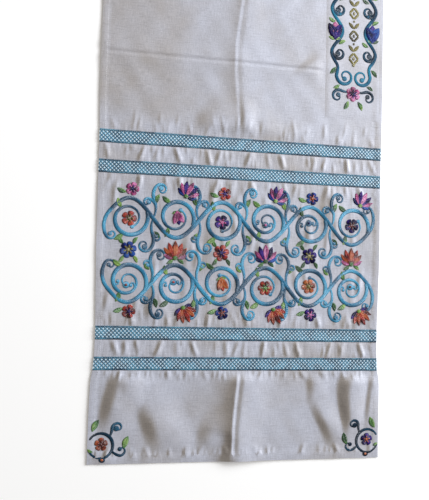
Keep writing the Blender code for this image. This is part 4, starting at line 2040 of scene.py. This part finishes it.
@dataclass
class Studio:
    """The floor, the lights and the camera at the photograph's angle."""

    place: tuple[float, float, float] = (-0.3055, -0.7066, 1.1888)
    right: tuple[float, float, float] = (0.97732, 0.02638, 0.21010)
    up: tuple[float, float, float] = (-0.03762, 0.99806, 0.04969)
    focal: float = 50.4
    sensor: float = 36.0
    floor_side: float = 14.0
    floor_shade: float = 0.96
    floor_glow: float = 0.16
    window_place: Colour = (1.35, 0.45, 1.0)
    window_target: Colour = (0.0, -0.6, 0.0)
    window_tint: Colour = (0.95, 0.97, 1.0)
    window_size: float = 1.1
    window_power: float = 36.0
    sun_elevation: float = 18.0
    sun_azimuth: float = 15.0
    sun_strength: float = 3.4
    sun_softness: float = 26.0
    sun_tint: Colour = (0.94, 0.97, 1.0)
    room_tint: Colour = (1.0, 0.93, 0.85)
    room_strength: float = 0.27

    def floor(self) -> None:
        """Lays a plain pale floor."""
        floor = primitive(bpy.ops.mesh.primitive_plane_add, size=self.floor_side, location=(0.0, 0.0, 0.0))
        floor.name = "studio_floor"
        settle(floor)
        material = bpy.data.materials.new("studio_floor")
        material.use_nodes = True
        shader = material.node_tree.nodes["Principled BSDF"]
        shader.inputs["Base Color"].default_value = rgba((self.floor_shade,) * 3)
        shader.inputs["Roughness"].default_value = 0.9
        shader.inputs["Emission Color"].default_value = (1.0, 1.0, 1.0, 1.0)
        shader.inputs["Emission Strength"].default_value = self.floor_glow
        floor.data.materials.append(material)

    def lamp(self, data: bpy.types.Light, place: Vector, aim: Vector, power: float, tint: Colour) -> None:
        """Hangs a light.

        Args:
            data: the light, with its size set.
            place: where it hangs.
            aim: which way it shines.
            power: its power in watts, or the sun's strength.
            tint: its colour.
        """
        data.energy = power
        data.color = tint
        lamp = new_object(data.name, data)
        lamp.location = place
        lamp.rotation_euler = aim.to_track_quat("-Z", "Y").to_euler()

    def window(self) -> None:
        """Hangs the large soft light of a window."""
        data = bpy.data.lights.new("window", "AREA")
        data.shape = "SQUARE"
        data.size = self.window_size
        place = Vector(self.window_place)
        aim = Vector(self.window_target) - place
        self.lamp(data, place, aim, self.window_power, self.window_tint)

    def sun(self) -> None:
        """Hangs the soft parallel light that rakes across the cloth."""
        data = bpy.data.lights.new("daylight", "SUN")
        data.angle = math.radians(self.sun_softness)
        high, side = math.radians(self.sun_elevation), math.radians(self.sun_azimuth)
        place = Vector((math.cos(high) * math.cos(side), math.cos(high) * math.sin(side), math.sin(high)))
        self.lamp(data, place * 3.0, -place, self.sun_strength, self.sun_tint)

    def camera(self) -> None:
        """Sets up the camera with the photograph's place, turn and lens."""
        data = bpy.data.cameras.new("photo_camera")
        data.lens = self.focal
        data.sensor_width = self.sensor
        data.clip_end = 60.0
        camera = new_object("photo_camera", data)
        right, up = Vector(self.right).normalized(), Vector(self.up)
        back = right.cross(up).normalized()
        up = back.cross(right)
        turn = Matrix((right, up, back)).transposed()
        camera.matrix_world = Matrix.Translation(self.place) @ turn.to_4x4()
        bpy.context.scene.camera = camera

    def build(self) -> None:
        """Sets up the floor, the lights, the room's glow and the camera."""
        self.floor()
        self.window()
        self.sun()
        world = bpy.data.worlds.new("room_glow")
        world.use_nodes = True
        background = world.node_tree.nodes["Background"]
        background.inputs["Color"].default_value = rgba(self.room_tint)
        background.inputs["Strength"].default_value = self.room_strength
        bpy.context.scene.world = world
        bpy.context.scene.view_settings.view_transform = "Standard"
        self.camera()


def write_sizes() -> None:
    """Updates the view layer."""
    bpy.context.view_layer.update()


def main() -> None:
    """Builds the shawl's looks, piece by piece."""
    logging.basicConfig(level=logging.INFO, format="%(message)s")
    form = ClothForm()
    weave, stitch = SlubWeave(), SatinStitch()
    # The second colour is the darker warm one, for random patches and for painted shade on slopes, in creases
    # and on the left.
    weft, warp = (0.500, 0.516, 0.598), (0.385, 0.350, 0.325)
    silk = SilkFinish("silk", weft, warp).material(weave)
    neck_silk = SilkFinish("neckband_silk", weft, warp).material(weave)
    hem = SilkFinish("hem_thread", (0.62, 0.63, 0.68), (0.52, 0.50, 0.48), slub=0.0).material(weave)
    threads = {thread: finish.material(stitch) for thread, finish in THREAD_FINISHES.items()}
    lattice_finish = ThreadFinish(
        "lattice_thread", (0.026, 0.108, 0.190), (0.055, 0.212, 0.345), (0.09, 0.31, 0.47), change=60.0
    )
    border_finish = ThreadFinish(
        "border_thread", (0.008, 0.042, 0.082), (0.024, 0.122, 0.205), (0.06, 0.23, 0.34), change=40.0
    )
    neck_vine = ThreadFinish(
        "neck_vine_thread", (0.003, 0.036, 0.078), (0.005, 0.105, 0.200), (0.014, 0.210, 0.340),
        edge=0.85, roughness=0.5, sheen=0.0, specular=0.2
    )
    neck_threads = threads | {Thread.VINE: neck_vine.material(stitch)}
    band_silk = SilkFinish("lattice_ground", (0.67, 0.86, 0.98), (0.57, 0.75, 0.87), slub=0.3)
    band_materials = {
        "ground": band_silk.material(weave),
        "lattice": lattice_finish.material(stitch),
        "border": border_finish.material(stitch),
    }
    cloth = GroundCloth(form).build(silk)
    for band in form.bands:
        for far in (False, True):
            ground, lattice, cords = LatticeBand(form, band, far).build(band_materials)
    strip = NeckbandStrip(form).build(neck_silk)
    dome = PadDome().build()
    work = NeckbandWork(Needle(form, dome, "neckband", rise=0.0004)).build(neck_threads)
    laid = [HemStitches(form).build(hem)]
    for end, turned in (("near", False), ("far", True)):
        laid += ScrollPanel(Needle(form, dome, end + "_panel", turned)).build(threads)
        laid += CornerSpray(Needle(form, dome, end + "_corner", turned)).build(threads)
    dome.remove()
    Studio().build()
    write_sizes()


if __name__ == "__main__":
    main()
